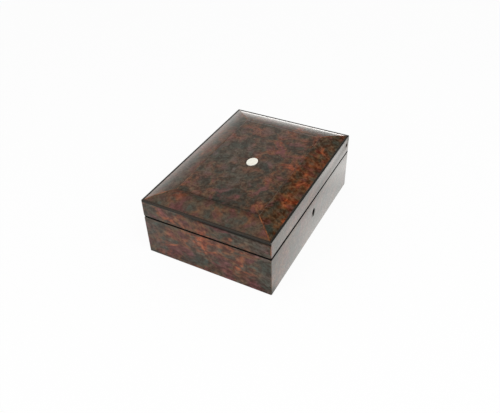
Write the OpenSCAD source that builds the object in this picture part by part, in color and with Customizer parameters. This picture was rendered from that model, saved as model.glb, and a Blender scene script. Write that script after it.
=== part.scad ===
// Lockable wooden money box: a dovetailed carcass dressed in burr veneer, with a cushioned lid,
// an ebonised edge, a pearl oval, a box lock with a link plate, and two brass butt hinges.
// Origin: centre of the underside. +Z is up, -Y is the front with the keyhole. Millimetres.

/* [Box] */
// Outside length, along X
box_length = 260; // [220:1:320]
// Outside width, front to back
box_width = 186; // [160:1:240]
// Height of the base, from the table to its rim
base_height = 62.4; // [56:0.1:90]
// Height of the lid's upright rim, from its lower edge to its top arris
lid_rim_height = 26.2; // [20:0.1:40]
// Gap between lid and base when shut
seam_gap = 0.4; // [0.3:0.05:0.8]

/* [Carcass] */
// Thickness of the carcass boards
wall_t = 9; // [8.6:0.1:12]
// Thickness of the burr veneer
veneer_t = 1; // [0.8:0.1:1.4]
// Thickness of the bottom board
bottom_t = 5; // [4:0.5:8]
// Width of the rebate that the bottom board sits in
rebate_w = 4.5; // [3.5:0.5:6]
// Thickness of the hardwood facing on both rims
facing_t = 1.5; // [1.5:0.1:2.5]
// Bevel worn on the veneer's edge beside the seam
seam_bevel = 0.5; // [0.2:0.1:0.7]
// Thickness of the baize under the base
baize_t = 0.8; // [0.5:0.1:1.5]
// How far the baize stops short of the outside faces
baize_inset = 1.5; // [1:0.1:4]

/* [Dovetails] */
// Tails on each corner of the base
base_tails = 3; // [2:1:5]
// Tails on each corner of the lid
lid_tails = 1; // [1:1:2]
// Share of each pitch that a tail's root takes
tail_root_share = 0.55; // [0.4:0.05:0.65]
// Slope of a tail's side, as rise over run
tail_slope = 0.16; // [0.1:0.01:0.2]

/* [Cushioned lid] */
// Thickness of the top board at its edge
top_edge_t = 8; // [6:0.5:12]
// Width of each curved border, from the edging to the crest
border_w = 30; // [20:1:38]
// Rise of the crest above the edging
crown_rise = 6.2; // [5:0.1:10]
// Half of the angle that the border's arc turns through
border_half_turn = 8.5; // [5:0.5:12]
// Width of the ebonised edging, seen from above
edging_w = 3; // [2:0.1:5]
// Height of the ebonised edging, seen from the side
edging_h = 2.6; // [1.8:0.1:4]
// Bevel on the edging's outer arris
edging_bevel = 0.5; // [0.2:0.1:1]

/* [Pearl oval] */
// Length of the oval, along X
pearl_length = 19.5; // [14:0.5:30]
// Width of the oval, along Y
pearl_width = 15; // [10:0.5:22]

/* [Keyhole and chip] */
// Radius of the keyhole's round part
keyhole_r = 2.3; // [2:0.1:3]
// Width of the keyhole's slot
keyhole_slot_w = 2.4; // [1.8:0.1:3]
// Drop of the slot below the round part's centre
keyhole_drop = 9.5; // [7:0.1:10]
// Depth of the keyhole's centre below the base's rim
keyhole_depth = 20; // [19:0.5:22]
// Width of the small chip in the lid's front veneer
chip_w = 2.2; // [1:0.1:4]
// Height of the chip
chip_h = 5; // [4.5:0.1:7]
// Distance of the chip from the right-hand end
chip_from_end = 9.5; // [6:0.5:20]
// Drop of the chip's middle below the lid's top arris
chip_drop = 12; // [9:0.5:14]

/* [Lock] */
// Length of the lock's brass plate, along X
lock_plate_l = 56; // [54:1:64]
// Drop of the lock's plate below the rim
lock_plate_h = 36; // [34:0.5:40]
// Thickness of the lock's plates
lock_plate_t = 1.5; // [1.2:0.1:1.5]
// Length of the lock's case, along X
lock_case_l = 42; // [42:1:46]
// Depth of the lock into the wall, plate included
lock_depth = 7; // [6.8:0.1:7.4]
// Thickness of the case's sheet brass
lock_case_t = 1; // [0.8:0.1:1.2]
// Radius of the pin that a barrel key slides over
lock_pin_r = 1; // [0.8:0.1:1.2]
// Travel of the bolt
bolt_throw = 5; // [4:0.1:5.5]
// Thickness of the bolt
bolt_t = 1.8; // [1.4:0.1:2]
// Radius of the rivets that hold the case and guide the bolt
rivet_r = 1; // [0.8:0.1:1.2]
// Distance of each link from the lock's middle
link_x = 9; // [8:0.5:10]
// Thickness of a link, along X
link_t = 2.2; // [1.6:0.1:2.6]
// Width of a link, front to back
link_w = 3.6; // [3.4:0.1:3.8]
// How far the links reach below the base's rim
link_reach = 8.6; // [8:0.1:9]
// Length of the link plate, along X
link_plate_l = 48; // [44:1:54]
// Depth of the bolt's fingers below the base's rim, to their middle
finger_depth = 5.1; // [4.9:0.1:5.3]
// Height of the bolt's fingers
finger_h = 3; // [2.4:0.1:3.2]
// Depth of the bolt's bar below the base's rim
bar_depth = 9.4; // [9.2:0.1:10]
// Room between the keyhole's centre and the bolt's bar
key_room = 4.1; // [3.6:0.1:4.6]
// Width of the notch that the key's bit turns in
talon_w = 6; // [5:0.1:6.5]
// Height of that notch
talon_h = 3.5; // [2.5:0.1:4]
// Height of the ward round the keyhole, from the case's inner face
ward_h = 1; // [0.6:0.1:1.1]

/* [Hinges] */
// Distance of each hinge's middle from its end of the box
hinge_inset = 50; // [36:1:70]
// Length of a hinge
hinge_l = 32; // [28:1:40]
// Radius of the hinge's knuckles
knuckle_r = 1.9; // [1.7:0.1:2.4]
// Radius of the hinge's pin
hinge_pin_r = 0.7; // [0.6:0.05:0.9]
// Width of a hinge's leaf, from the pin's centre
leaf_w = 6.9; // [6.5:0.1:7.5]
// Thickness of a hinge's leaf
leaf_t = 1; // [0.8:0.1:1.3]
// Angle that the lid opens to before its back bevel meets the base's
lid_open_angle = 100; // [92:1:110]

/* [Screws and brads] */
// Radius of the small screws' shanks
screw_r = 1; // [0.8:0.1:1.2]
// Radius of the small screws' heads
screw_head_r = 1.8; // [1.5:0.1:2]
// Length of the hinge and link screws
screw_l = 8; // [6:0.5:10]
// Length of the lock's screws
lock_screw_l = 6; // [5:0.5:6.5]
// Radius of the brads under the bottom board
brad_r = 0.6; // [0.4:0.1:0.9]
// Length of the brads
brad_l = 13; // [10:1:18]

/* [Linings] */
// Thickness of the velvet on the floor
floor_lining_t = 1.5; // [1:0.1:3]
// Thickness of the linings on the walls
wall_lining_t = 1; // [0.6:0.1:1.5]
// Thickness of the pad inside the lid
lid_pad_t = 3; // [2:0.5:6]
// How far the linings stop short of the rims
lining_reveal = 2; // [1.6:0.1:5]

/* [Fits] */
// Clearance round joints that are glued or screwed
glue_gap = 0.05; // [0.03:0.01:0.1]
// Clearance round parts that move past each other
run_gap = 0.3; // [0.25:0.05:0.35]
// Radial clearance of the hinge's pin in its knuckles
pin_gap = 0.05; // [0.02:0.01:0.1]

/* [Hidden] */
$fn = 48;
arc_fn = 360;
oval_points = 72;
over = 1; // how far a cutter runs past what it cuts

SIDES = ["front", "back", "left", "right"];

// Plan sizes
carcass_l = box_length - 2 * veneer_t;
carcass_w = box_width - 2 * veneer_t;
inner_l = carcass_l - 2 * wall_t;
inner_w = carcass_w - 2 * wall_t;
wall_in = veneer_t + wall_t; // depth of the carcass's inner face behind the outside face
mitre_reach = min(box_length, box_width) / 2 - 1;

// Heights
board_foot = baize_t;
base_board_top = base_height - facing_t;
floor_z = board_foot + bottom_t;
lid_foot = base_height + seam_gap;
lid_board_foot = lid_foot + facing_t;
arris_z = lid_foot + lid_rim_height;
ceiling_z = arris_z - top_edge_t;
edging_foot = arris_z - edging_h;
crown_bed_z = arris_z - veneer_t;
linings_foot = floor_z + floor_lining_t;

// Crown: an arc from the edging's inner edge to the crest
border_chord = norm([border_w, crown_rise]);
border_pitch = atan(crown_rise / border_w);
border_r = border_chord / (2 * sin(border_half_turn));
border_centre = [
  border_w / 2 + border_r * cos(border_half_turn) * sin(border_pitch),
  crown_rise / 2 - border_r * cos(border_half_turn) * cos(border_pitch)
];
crown_half_l = box_length / 2 - edging_w;
crown_half_w = box_width / 2 - edging_w;

// Lock
lock_face_y = -inner_w / 2; // inner face of the plate, flush with the wall
plate_back_y = lock_face_y - lock_plate_t;
lock_back_y = lock_face_y - lock_depth;
lock_mid_y = (plate_back_y + lock_back_y + lock_case_t) / 2;
key_z = base_height - keyhole_depth;
case_top = base_height - lock_plate_t;
bit_room = 1.9; // room below the keyhole for the key's bit
case_foot = key_z - keyhole_drop - bit_room - lock_case_t;
plate_foot = base_height - lock_plate_h;
finger_z = base_height - finger_depth;
finger_l = bolt_throw;
eye_gap = 0.2; // beside a finger in its link's eye
finger_gap = 0.6; // from a finger to its link, lengthwise when unlocked and above and below it
hook_arm_w = 3;
bar_top = base_height - bar_depth;
bar_foot = key_z + key_room;
bar_mid = (bar_top + bar_foot) / 2;
hook_tips = [for (s = [-1, 1]) s * link_x - link_t / 2 - finger_gap];
bar_left = hook_tips[0] - finger_l - hook_arm_w;
bar_right = lock_case_l / 2 - lock_case_t - bolt_throw - 1;
slot_r = rivet_r + run_gap / 2;
rivet_x = [-link_x, bar_right - 3 * rivet_r];
talon_x = -bolt_throw / 2; // the notch stands centred on the key halfway through the bolt's travel
lock_screw_head_r = 2.2;
lock_screw_x = (lock_plate_l + lock_case_l) / 4;
lock_screw_z = [plate_foot + 2.7 * lock_screw_head_r, case_top - 2.7 * lock_screw_head_r];
ward_r = keyhole_r + 2;
ward_t = 0.8;
spring_t = 0.6;
spring_r = 8;
spring_w = 3;
spring_foot = case_foot + 2 * lock_case_t;

// Hinges
hinge_x = box_length / 2 - hinge_inset;
axis_y = box_width / 2 - knuckle_r;
axis_z = base_height + seam_gap / 2;
bevel_angle = lid_open_angle / 2 + 0.5;
bevel_drop = (box_width / 2 + over - axis_y) * tan(bevel_angle);
knuckles = 5;
knuckle_l = hinge_l / knuckles;
knuckle_end_gap = 0.2;
leaf_screw_x = [-1, 0, 1] * (hinge_l / 2 - 2.8 * screw_head_r);
leaf_screw_y = axis_y - knuckle_r - run_gap - screw_head_r - 0.1;

// Fasteners
screw_slot_w = 0.5;
screw_slot_h = 0.4;
brad_head_r = 2 * brad_r;
brad_head_t = 0.5;

wood = "#9c6b3c";
burr = "#5a2a18";
ebonised = "#1b1714";
brass = "#b5924a";
steel = "#8b8d90";
velvet = "#4a1220";
baize = "#1f3b2a";
pearl = "#f1eee4";

// ---------- helpers ----------

// A block between two opposite corners.
module block(lo, hi) translate(lo) cube(hi - lo);

// A block centred on the Z axis in plan.
module slab(length, width, z_lo, z_hi) {
  block([-length / 2, -width / 2, z_lo], [length / 2, width / 2, z_hi]);
}

// Runs a profile along one side. Its x is depth behind the outside face, its y is height.
module run(side, extra = 0) {
  if (side == "front")
    translate([0, -box_width / 2, 0]) rotate([90, 0, 90])
      linear_extrude(box_length + 2 * extra, center = true) children();
  if (side == "left")
    translate([-box_length / 2, 0, 0]) rotate([90, 0, 0])
      linear_extrude(box_width + 2 * extra, center = true) children();
  if (side == "back") mirror([0, 1, 0]) run("front", extra) children();
  if (side == "right") mirror([1, 0, 0]) run("left", extra) children();
}

// The plan region that one side owns, bounded by 45 degree mitre lines a gap inside the corners.
module side_region(side, gap) {
  l = box_length / 2 - gap * (side == "front" || side == "back" ? sqrt(2) : 0);
  w = box_width / 2 - gap * (side == "left" || side == "right" ? sqrt(2) : 0);
  m = mitre_reach;
  if (side == "front") polygon([[-l, -w], [l, -w], [l - m, m - w], [m - l, m - w]]);
  if (side == "left") polygon([[-l, -w], [m - l, m - w], [m - l, w - m], [-l, w]]);
  if (side == "back") mirror([0, 1]) side_region("front", gap);
  if (side == "right") mirror([1, 0]) side_region("left", gap);
}

module mitre(side, gap = 0) {
  linear_extrude(3 * (base_height + lid_rim_height), center = true) side_region(side, gap);
}

// A strip of the given profile along one side, mitred at both ends.
module mitred_strip(side, gap = 0) {
  intersection() {
    run(side) children();
    mitre(side, gap);
  }
}

module square_between(lo, hi) translate(lo) square(hi - lo);

// Mirrors the base's hinge details up into the lid, about the seam's middle.
module lid_side() translate([0, 0, axis_z]) mirror([0, 0, 1]) translate([0, 0, -axis_z]) children();

// A countersunk screw, head up, its head's face at z = 0. grow makes the hole for it.
module screw(length, head_r, shank_r, grow = 0) {
  head_h = head_r - shank_r;
  translate([0, 0, -head_h]) cylinder(h = head_h, r1 = shank_r + grow, r2 = head_r + grow);
  translate([0, 0, -length - grow]) cylinder(h = length - head_h + 2 * grow, r = shank_r + grow);
  if (grow > 0) cylinder(h = over, r = head_r + grow);
}

module slotted_screw(length, head_r, shank_r) {
  difference() {
    screw(length, head_r, shank_r);
    block([-head_r, -screw_slot_w / 2, -screw_slot_h], [head_r, screw_slot_w / 2, over]);
  }
}

// ---------- carcass ----------

// The tails of one end board, at one end of it, as prisms across the board's thickness.
module tails(z_lo, z_hi, count, grow = 0) {
  pitch = (z_hi - z_lo) / count;
  root = pitch * tail_root_share / 2 + grow;
  tip = root + wall_t * tail_slope;
  for (i = [0 : count - 1])
    translate([-carcass_l / 2 - grow, -inner_w / 2, z_lo + (i + 0.5) * pitch])
      rotate([90, 0, 90])
        linear_extrude(wall_t + 2 * grow)
          polygon([[0, -root], [0, root], [-wall_t, tip], [-wall_t, -tip]]);
}

module all_tails(z_lo, z_hi, count, grow = 0) {
  for (mx = [0, 1]) mirror([mx, 0, 0])
    for (my = [0, 1]) mirror([0, my, 0])
      tails(z_lo, z_hi, count, grow);
}

// A long board, front or back, with sockets for the end boards' tails.
module socket_board(z_lo, z_hi, count) {
  difference() {
    block([-carcass_l / 2, -carcass_w / 2, z_lo], [carcass_l / 2, -inner_w / 2, z_hi]);
    all_tails(z_lo, z_hi, count, glue_gap);
  }
}

// An end board, left, with its tails.
module tail_board(z_lo, z_hi, count) {
  block([-carcass_l / 2, -inner_w / 2, z_lo], [-inner_l / 2, inner_w / 2, z_hi]);
  for (my = [0, 1]) mirror([0, my, 0]) tails(z_lo, z_hi, count);
}

module bottom_rebate() {
  slab(inner_l + 2 * rebate_w, inner_w + 2 * rebate_w, board_foot - over, floor_z);
}

// Bevel along the back edges that lets the lid open and then stops it.
module base_back_bevel() {
  run("back", over)
    polygon([
      [-over, axis_z + over], [knuckle_r, axis_z + over], [knuckle_r, base_height],
      [-over, base_height - bevel_drop]
    ]);
}

module lid_back_bevel() lid_side() base_back_bevel();

// The wood that one pair of leaves needs cut away.
module hinge_mortises() {
  for (s = [-1, 1]) translate([s * hinge_x, 0, 0]) {
    block([-hinge_l / 2 - glue_gap, axis_y - leaf_w - glue_gap, base_height - leaf_t - glue_gap],
          [hinge_l / 2 + glue_gap, axis_y, base_height + over]);
    translate([-hinge_l / 2 - run_gap, axis_y, axis_z]) rotate([0, 90, 0])
      cylinder(h = hinge_l + 2 * run_gap, r = knuckle_r + run_gap);
    for (x = leaf_screw_x) translate([x, leaf_screw_y, base_height])
      screw(screw_l, screw_head_r, screw_r, glue_gap);
  }
}

module lock_mortise() {
  block([-lock_plate_l / 2 - glue_gap, plate_back_y - glue_gap, plate_foot - glue_gap],
        [lock_plate_l / 2 + glue_gap, lock_face_y + over, base_height + over]);
  block([-lock_plate_l / 2 - glue_gap, lock_back_y - glue_gap, case_top - glue_gap],
        [lock_plate_l / 2 + glue_gap, lock_face_y + over, base_height + over]);
  block([-lock_case_l / 2 - run_gap, lock_back_y - glue_gap, case_foot - run_gap],
        [lock_case_l / 2 + run_gap, lock_face_y + over, base_height + over]);
  lock_screw_places() screw(lock_screw_l, lock_screw_head_r, screw_r, glue_gap);
}

module lock_screw_places() {
  for (s = [-1, 1]) for (z = lock_screw_z)
    translate([s * lock_screw_x, lock_face_y, z]) rotate([-90, 0, 0]) children();
}

// The keyhole's outline pushed through the front wall.
module keyhole() {
  translate([0, lock_back_y + lock_case_t + glue_gap, 0]) rotate([90, 0, 0])
    linear_extrude(box_width / 2 + lock_back_y + over + lock_case_t + glue_gap) {
      translate([0, key_z]) circle(r = keyhole_r);
      square_between([-keyhole_slot_w / 2, key_z - keyhole_drop], [keyhole_slot_w / 2, key_z]);
    }
}

module brad_places() {
  for (my = [0, 1]) mirror([0, my, 0])
    for (x = [-0.3, 0, 0.3] * box_length)
      translate([x, -(inner_w + rebate_w) / 2, board_foot]) children();
  for (mx = [0, 1]) mirror([mx, 0, 0])
    for (y = [-0.25, 0.25] * box_width)
      translate([-(inner_l + rebate_w) / 2, y, board_foot]) children();
}

module brad(grow = 0) {
  cylinder(h = brad_l + grow, r = brad_r + grow);
  cylinder(h = brad_head_t + grow, r = brad_head_r + grow);
}

module base_board_cuts() {
  bottom_rebate();
  base_back_bevel();
  hinge_mortises();
  brad_places() brad(glue_gap);
}

module base_front_board() color(wood) difference() {
  socket_board(board_foot, base_board_top, base_tails);
  base_board_cuts();
  lock_mortise();
  keyhole();
}

module base_back_board() color(wood) difference() {
  mirror([0, 1, 0]) socket_board(board_foot, base_board_top, base_tails);
  base_board_cuts();
}

module base_left_board() color(wood) difference() {
  tail_board(board_foot, base_board_top, base_tails);
  base_board_cuts();
}

module base_right_board() mirror([1, 0, 0]) base_left_board();

module bottom_board() color(wood) difference() {
  slab(inner_l + 2 * (rebate_w - glue_gap), inner_w + 2 * (rebate_w - glue_gap), board_foot, floor_z);
  brad_places() brad(glue_gap);
}

module bottom_brads() color(steel) brad_places() brad();

module base_baize() color(baize) {
  slab(box_length - 2 * baize_inset, box_width - 2 * baize_inset, 0, baize_t);
}

// ---------- base veneer, facings and linings ----------

module base_veneer(side) color(burr) difference() {
  mitred_strip(side)
    polygon([
      [0, board_foot], [0, base_height - seam_bevel], [seam_bevel, base_height],
      [veneer_t, base_height], [veneer_t, board_foot]
    ]);
  base_back_bevel();
  hinge_mortises();
  keyhole();
}

module base_rim_facings() color(ebonised) difference() {
  for (side = SIDES) mitred_strip(side, glue_gap)
    square_between([veneer_t, base_board_top], [wall_in, base_height]);
  base_back_bevel();
  hinge_mortises();
  lock_mortise();
}

module floor_lining() color(velvet) slab(inner_l, inner_w, floor_z, linings_foot);

module wall_lining(side) color(velvet) difference() {
  mitred_strip(side)
    square_between([wall_in, linings_foot], [wall_in + wall_lining_t, base_height - lining_reveal]);
  block([-lock_plate_l / 2 - run_gap, -inner_w / 2 - over, plate_foot - run_gap],
        [lock_plate_l / 2 + run_gap, -inner_w / 2 + wall_lining_t + over, base_height]);
}

// ---------- lock ----------

// Slots in the top plate that the links drop through.
module link_slots() {
  for (s = [-1, 1])
    block([s * link_x - link_t / 2 - run_gap, lock_mid_y - link_w / 2 - run_gap, case_top - over],
          [s * link_x + link_t / 2 + run_gap, lock_mid_y + link_w / 2 + run_gap, base_height + over]);
}

module lock_plate() color(brass) difference() {
  union() {
    block([-lock_plate_l / 2, plate_back_y, plate_foot], [lock_plate_l / 2, lock_face_y, base_height]);
    block([-lock_plate_l / 2, lock_back_y, case_top], [lock_plate_l / 2, lock_face_y, base_height]);
  }
  link_slots();
  rivet_places() rivet(glue_gap);
  key_pin(glue_gap);
  lock_screw_places() screw(lock_screw_l, lock_screw_head_r, screw_r, glue_gap);
}

module lock_case() color(brass) difference() {
  block([-lock_case_l / 2, lock_back_y, case_foot], [lock_case_l / 2, plate_back_y, case_top]);
  block([-lock_case_l / 2 + lock_case_t, lock_back_y + lock_case_t, case_foot + lock_case_t],
        [lock_case_l / 2 - lock_case_t, plate_back_y + over, case_top + over]);
  rivet_places() rivet(glue_gap);
  keyhole();
}

module rivet_places() {
  for (x = rivet_x) translate([x, lock_face_y, bar_mid]) rotate([90, 0, 0]) children();
}

// A rivet from the plate to the case, with a collar that spaces the bolt.
module rivet(grow = 0) {
  cylinder(h = lock_depth, r = rivet_r + grow);
  if (grow == 0)
    translate([0, 0, lock_plate_t])
      cylinder(h = plate_back_y - lock_mid_y - bolt_t / 2 - run_gap / 2, r = 2 * rivet_r);
}

module lock_rivets() color(brass) rivet_places() rivet();

module key_pin(grow = 0) {
  translate([0, lock_face_y, key_z]) rotate([90, 0, 0])
    cylinder(h = lock_depth + lock_case_t, r = lock_pin_r + grow);
}

module lock_pin() color(steel) key_pin();

// A ring that stands on the case's inner face, open below for the key's bit.
module lock_ward() color(brass) {
  translate([0, lock_back_y + lock_case_t + ward_h, key_z]) rotate([90, 0, 0])
    linear_extrude(ward_h) difference() {
      circle(r = ward_r + ward_t);
      circle(r = ward_r);
      square_between([-keyhole_slot_w, -ward_r - ward_t - over], [keyhole_slot_w, 0]);
    }
}

module lock_screws() color(brass) {
  lock_screw_places() slotted_screw(lock_screw_l, lock_screw_head_r, screw_r);
}

// A leaf spring that stands against the case's end and bears on the bolt's lower edge.
module bolt_spring() color(steel) {
  wall_x = -lock_case_l / 2 + lock_case_t;
  bend_z = bar_foot - run_gap / 2 - spring_r;
  translate([0, lock_mid_y + spring_w / 2, 0]) rotate([90, 0, 0]) linear_extrude(spring_w) {
    square_between([wall_x, spring_foot], [wall_x + spring_t, bend_z]);
    translate([wall_x + spring_r, bend_z]) intersection() {
      difference() {
        circle(r = spring_r);
        circle(r = spring_r - spring_t);
      }
      square_between([-spring_r, 0], [0, spring_r]);
    }
  }
}

// The sliding bolt: a bar with two hooked fingers, guide slots and a notch for the key.
module lock_bolt() color(steel) {
  translate([0, lock_mid_y + bolt_t / 2, 0]) rotate([90, 0, 0]) linear_extrude(bolt_t)
    difference() {
      union() {
        square_between([bar_left, bar_foot], [bar_right, bar_top]);
        for (tip = hook_tips) {
          square_between([tip - finger_l - hook_arm_w, bar_foot],
                         [tip - finger_l, finger_z + finger_h / 2]);
          square_between([tip - finger_l - hook_arm_w, finger_z - finger_h / 2],
                         [tip, finger_z + finger_h / 2]);
        }
      }
      for (x = rivet_x) {
        translate([x, bar_mid]) circle(r = slot_r);
        translate([x - bolt_throw, bar_mid]) circle(r = slot_r);
        square_between([x - bolt_throw, bar_mid - slot_r], [x, bar_mid + slot_r]);
      }
      square_between([talon_x - talon_w / 2, bar_foot - over],
                     [talon_x + talon_w / 2, bar_foot + talon_h]);
    }
}

// ---------- hinges ----------

function own_knuckles(lid) = [for (i = [0 : knuckles - 1]) if ((i % 2 == 1) == lid) i];

module knuckle_run(i, r, end_gap) {
  translate([-hinge_l / 2 + i * knuckle_l + end_gap, axis_y, axis_z]) rotate([0, 90, 0])
    cylinder(h = knuckle_l - 2 * end_gap, r = r);
}

// One leaf in the base's place, with its own knuckles.
module hinge_leaf(lid) {
  difference() {
    union() {
      difference() {
        block([-hinge_l / 2, axis_y - leaf_w, base_height - leaf_t],
              [hinge_l / 2, axis_y, base_height]);
        for (i = own_knuckles(!lid)) knuckle_run(i, knuckle_r + run_gap, -knuckle_end_gap / 2);
      }
      for (i = own_knuckles(lid)) knuckle_run(i, knuckle_r, knuckle_end_gap / 2);
    }
    translate([-hinge_l / 2 - over, axis_y, axis_z]) rotate([0, 90, 0])
      cylinder(h = hinge_l + 2 * over, r = hinge_pin_r + pin_gap);
    for (x = leaf_screw_x) translate([x, leaf_screw_y, base_height])
      screw(screw_l, screw_head_r, screw_r, glue_gap);
  }
}

module base_leaf(s) color(brass) translate([s * hinge_x, 0, 0]) hinge_leaf(false);

module lid_leaf(s) color(brass) lid_side() translate([s * hinge_x, 0, 0]) hinge_leaf(true);

module hinge_pin(s) color(steel) {
  translate([s * hinge_x - hinge_l / 2, axis_y, axis_z]) rotate([0, 90, 0])
    cylinder(h = hinge_l, r = hinge_pin_r);
}

module hinge_base_screws() color(brass) {
  for (s = [-1, 1]) for (x = leaf_screw_x)
    translate([s * hinge_x + x, leaf_screw_y, base_height])
      slotted_screw(screw_l, screw_head_r, screw_r);
}

module hinge_lid_screws() lid_side() hinge_base_screws();

// ---------- lid ----------

module lid_board_cuts() {
  lid_back_bevel();
  lid_side() hinge_mortises();
  link_plate_mortise();
}

module lid_front_board() color(wood) difference() {
  socket_board(lid_board_foot, ceiling_z, lid_tails);
  lid_board_cuts();
}

module lid_back_board() color(wood) difference() {
  mirror([0, 1, 0]) socket_board(lid_board_foot, ceiling_z, lid_tails);
  lid_board_cuts();
}

module lid_left_board() color(wood) difference() {
  tail_board(lid_board_foot, ceiling_z, lid_tails);
  lid_board_cuts();
}

module lid_right_board() mirror([1, 0, 0]) lid_left_board();

// Section of the crown over a half span: an arc up each border and a flat middle.
module crown_section(half_span) {
  square_between([border_w - half_span, 0], [half_span - border_w, crown_rise]);
  for (m = [0, 1]) mirror([m, 0]) intersection() {
    translate([-half_span, 0] + border_centre) circle(r = border_r, $fn = arc_fn);
    square_between([-half_span, 0], [border_w - half_span, crown_rise]);
  }
}

// The cushion above a level: where two crossed sections meet, their hips run at 45 degrees.
module crown(z_bed) {
  translate([0, 0, z_bed]) intersection() {
    rotate([90, 0, 90]) linear_extrude(2 * crown_half_l, center = true) crown_section(crown_half_w);
    rotate([90, 0, 0]) linear_extrude(2 * crown_half_w, center = true) crown_section(crown_half_l);
  }
}

module lid_top_board() color(wood) {
  slab(carcass_l, carcass_w, ceiling_z, edging_foot);
  slab(2 * crown_half_l, 2 * crown_half_w, edging_foot, crown_bed_z);
  crown(crown_bed_z);
}

module crown_veneer_shell() {
  difference() {
    union() {
      slab(2 * crown_half_l, 2 * crown_half_w, crown_bed_z, arris_z);
      crown(arris_z);
    }
    crown(crown_bed_z);
  }
}

module crown_middle() {
  slab(2 * (crown_half_l - border_w), 2 * (crown_half_w - border_w), crown_bed_z - over,
       arris_z + crown_rise + over);
}

module crown_border_veneer(side) color(burr) difference() {
  intersection() {
    crown_veneer_shell();
    mitre(side);
  }
  crown_middle();
}

module crown_centre_veneer() color(burr) difference() {
  intersection() {
    crown_veneer_shell();
    crown_middle();
  }
  oval(glue_gap, over);
}

// The inlaid oval, through the veneer.
module oval(grow = 0, proud = 0) {
  translate([0, 0, crown_bed_z + crown_rise - proud]) linear_extrude(veneer_t + 2 * proud)
    polygon([for (i = [0 : oval_points - 1]) let (a = 360 * i / oval_points)
      [(pearl_length / 2 + grow) * cos(a), (pearl_width / 2 + grow) * sin(a)]]);
}

module pearl_oval() color(pearl) oval();

module edging(side) color(ebonised) mitred_strip(side)
  polygon([
    [0, edging_foot], [0, arris_z - edging_bevel], [edging_bevel, arris_z],
    [edging_w, arris_z], [edging_w, edging_foot]
  ]);

// A small upright chip that has come out of the lid's front veneer.
module chip() {
  straight = chip_h - chip_w;
  translate([box_length / 2 - chip_from_end, -box_width / 2 + veneer_t, arris_z - chip_drop])
    rotate([90, 0, 0]) linear_extrude(veneer_t + over) {
      for (s = [-1, 1]) translate([0, s * straight / 2]) circle(d = chip_w);
      square([chip_w, straight], center = true);
    }
}

module lid_veneer(side) color(burr) difference() {
  mitred_strip(side)
    polygon([
      [0, edging_foot], [0, lid_foot + seam_bevel], [seam_bevel, lid_foot],
      [veneer_t, lid_foot], [veneer_t, edging_foot]
    ]);
  lid_back_bevel();
  lid_side() hinge_mortises();
  chip();
}

module lid_rim_facings() color(ebonised) difference() {
  for (side = SIDES) mitred_strip(side, glue_gap)
    square_between([veneer_t, lid_foot], [wall_in, lid_board_foot]);
  lid_board_cuts();
}

module lid_wall_linings() color(velvet) {
  for (side = SIDES) mitred_strip(side, glue_gap)
    square_between([wall_in, lid_foot + lining_reveal], [wall_in + wall_lining_t, ceiling_z]);
}

module lid_pad() color(velvet) {
  slab(inner_l - 2 * wall_lining_t, inner_w - 2 * wall_lining_t, ceiling_z - lid_pad_t, ceiling_z);
}

// ---------- link plate ----------

module link_plate_screw_places() {
  for (s = [-1, 1]) translate([s * (link_plate_l / 2 - 2.8 * screw_head_r), lock_mid_y, lid_foot])
    rotate([180, 0, 0]) children();
}

module link_plate_mortise() {
  block([-link_plate_l / 2 - glue_gap, lock_back_y - glue_gap, lid_foot - over],
        [link_plate_l / 2 + glue_gap, lock_face_y + over, lid_foot + lock_plate_t + glue_gap]);
  link_plate_screw_places() screw(screw_l, screw_head_r, screw_r, glue_gap);
}

// The plate let into the lid's rim, with two eyed links that hang into the lock.
module link_plate() color(brass) {
  difference() {
    block([-link_plate_l / 2, lock_back_y, lid_foot],
          [link_plate_l / 2, lock_face_y, lid_foot + lock_plate_t]);
    link_plate_screw_places() screw(screw_l, screw_head_r, screw_r, glue_gap);
  }
  for (s = [-1, 1]) translate([s * link_x - link_t / 2, lock_mid_y, 0])
    rotate([90, 0, 90]) linear_extrude(link_t) difference() {
      square_between([-link_w / 2, base_height - link_reach], [link_w / 2, lid_foot]);
      square_between([-bolt_t / 2 - eye_gap, finger_z - finger_h / 2 - finger_gap],
                     [bolt_t / 2 + eye_gap, finger_z + finger_h / 2 + finger_gap]);
    }
}

module link_plate_screws() color(brass) {
  link_plate_screw_places() slotted_screw(screw_l, screw_head_r, screw_r);
}

// ---------- one line for each node ----------

base_front_board();
base_back_board();
base_left_board();
base_right_board();
bottom_board();
bottom_brads();
base_baize();
base_veneer("front");  // base_front_veneer
base_veneer("back");  // base_back_veneer
base_veneer("left");  // base_left_veneer
base_veneer("right");  // base_right_veneer
base_rim_facings();
floor_lining();
wall_lining("front");  // front_lining
wall_lining("back");  // back_lining
wall_lining("left");  // left_lining
wall_lining("right");  // right_lining
lock_plate();
lock_case();
lock_rivets();
lock_pin();
lock_ward();
lock_screws();
bolt_spring();
lock_bolt();
base_leaf(-1);  // left_hinge_base_leaf
base_leaf(1);  // right_hinge_base_leaf
hinge_pin(-1);  // left_hinge_pin
hinge_pin(1);  // right_hinge_pin
hinge_base_screws();
lid_front_board();
lid_back_board();
lid_left_board();
lid_right_board();
lid_top_board();
lid_veneer("front");  // lid_front_veneer
lid_veneer("back");  // lid_back_veneer
lid_veneer("left");  // lid_left_veneer
lid_veneer("right");  // lid_right_veneer
lid_rim_facings();
edging("front");  // front_edging
edging("back");  // back_edging
edging("left");  // left_edging
edging("right");  // right_edging
crown_border_veneer("front");  // crown_front_veneer
crown_border_veneer("back");  // crown_back_veneer
crown_border_veneer("left");  // crown_left_veneer
crown_border_veneer("right");  // crown_right_veneer
crown_centre_veneer();
pearl_oval();
lid_wall_linings();
lid_pad();
lid_leaf(-1);  // left_hinge_lid_leaf
lid_leaf(1);  // right_hinge_lid_leaf
hinge_lid_screws();
link_plate();
link_plate_screws();
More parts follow.
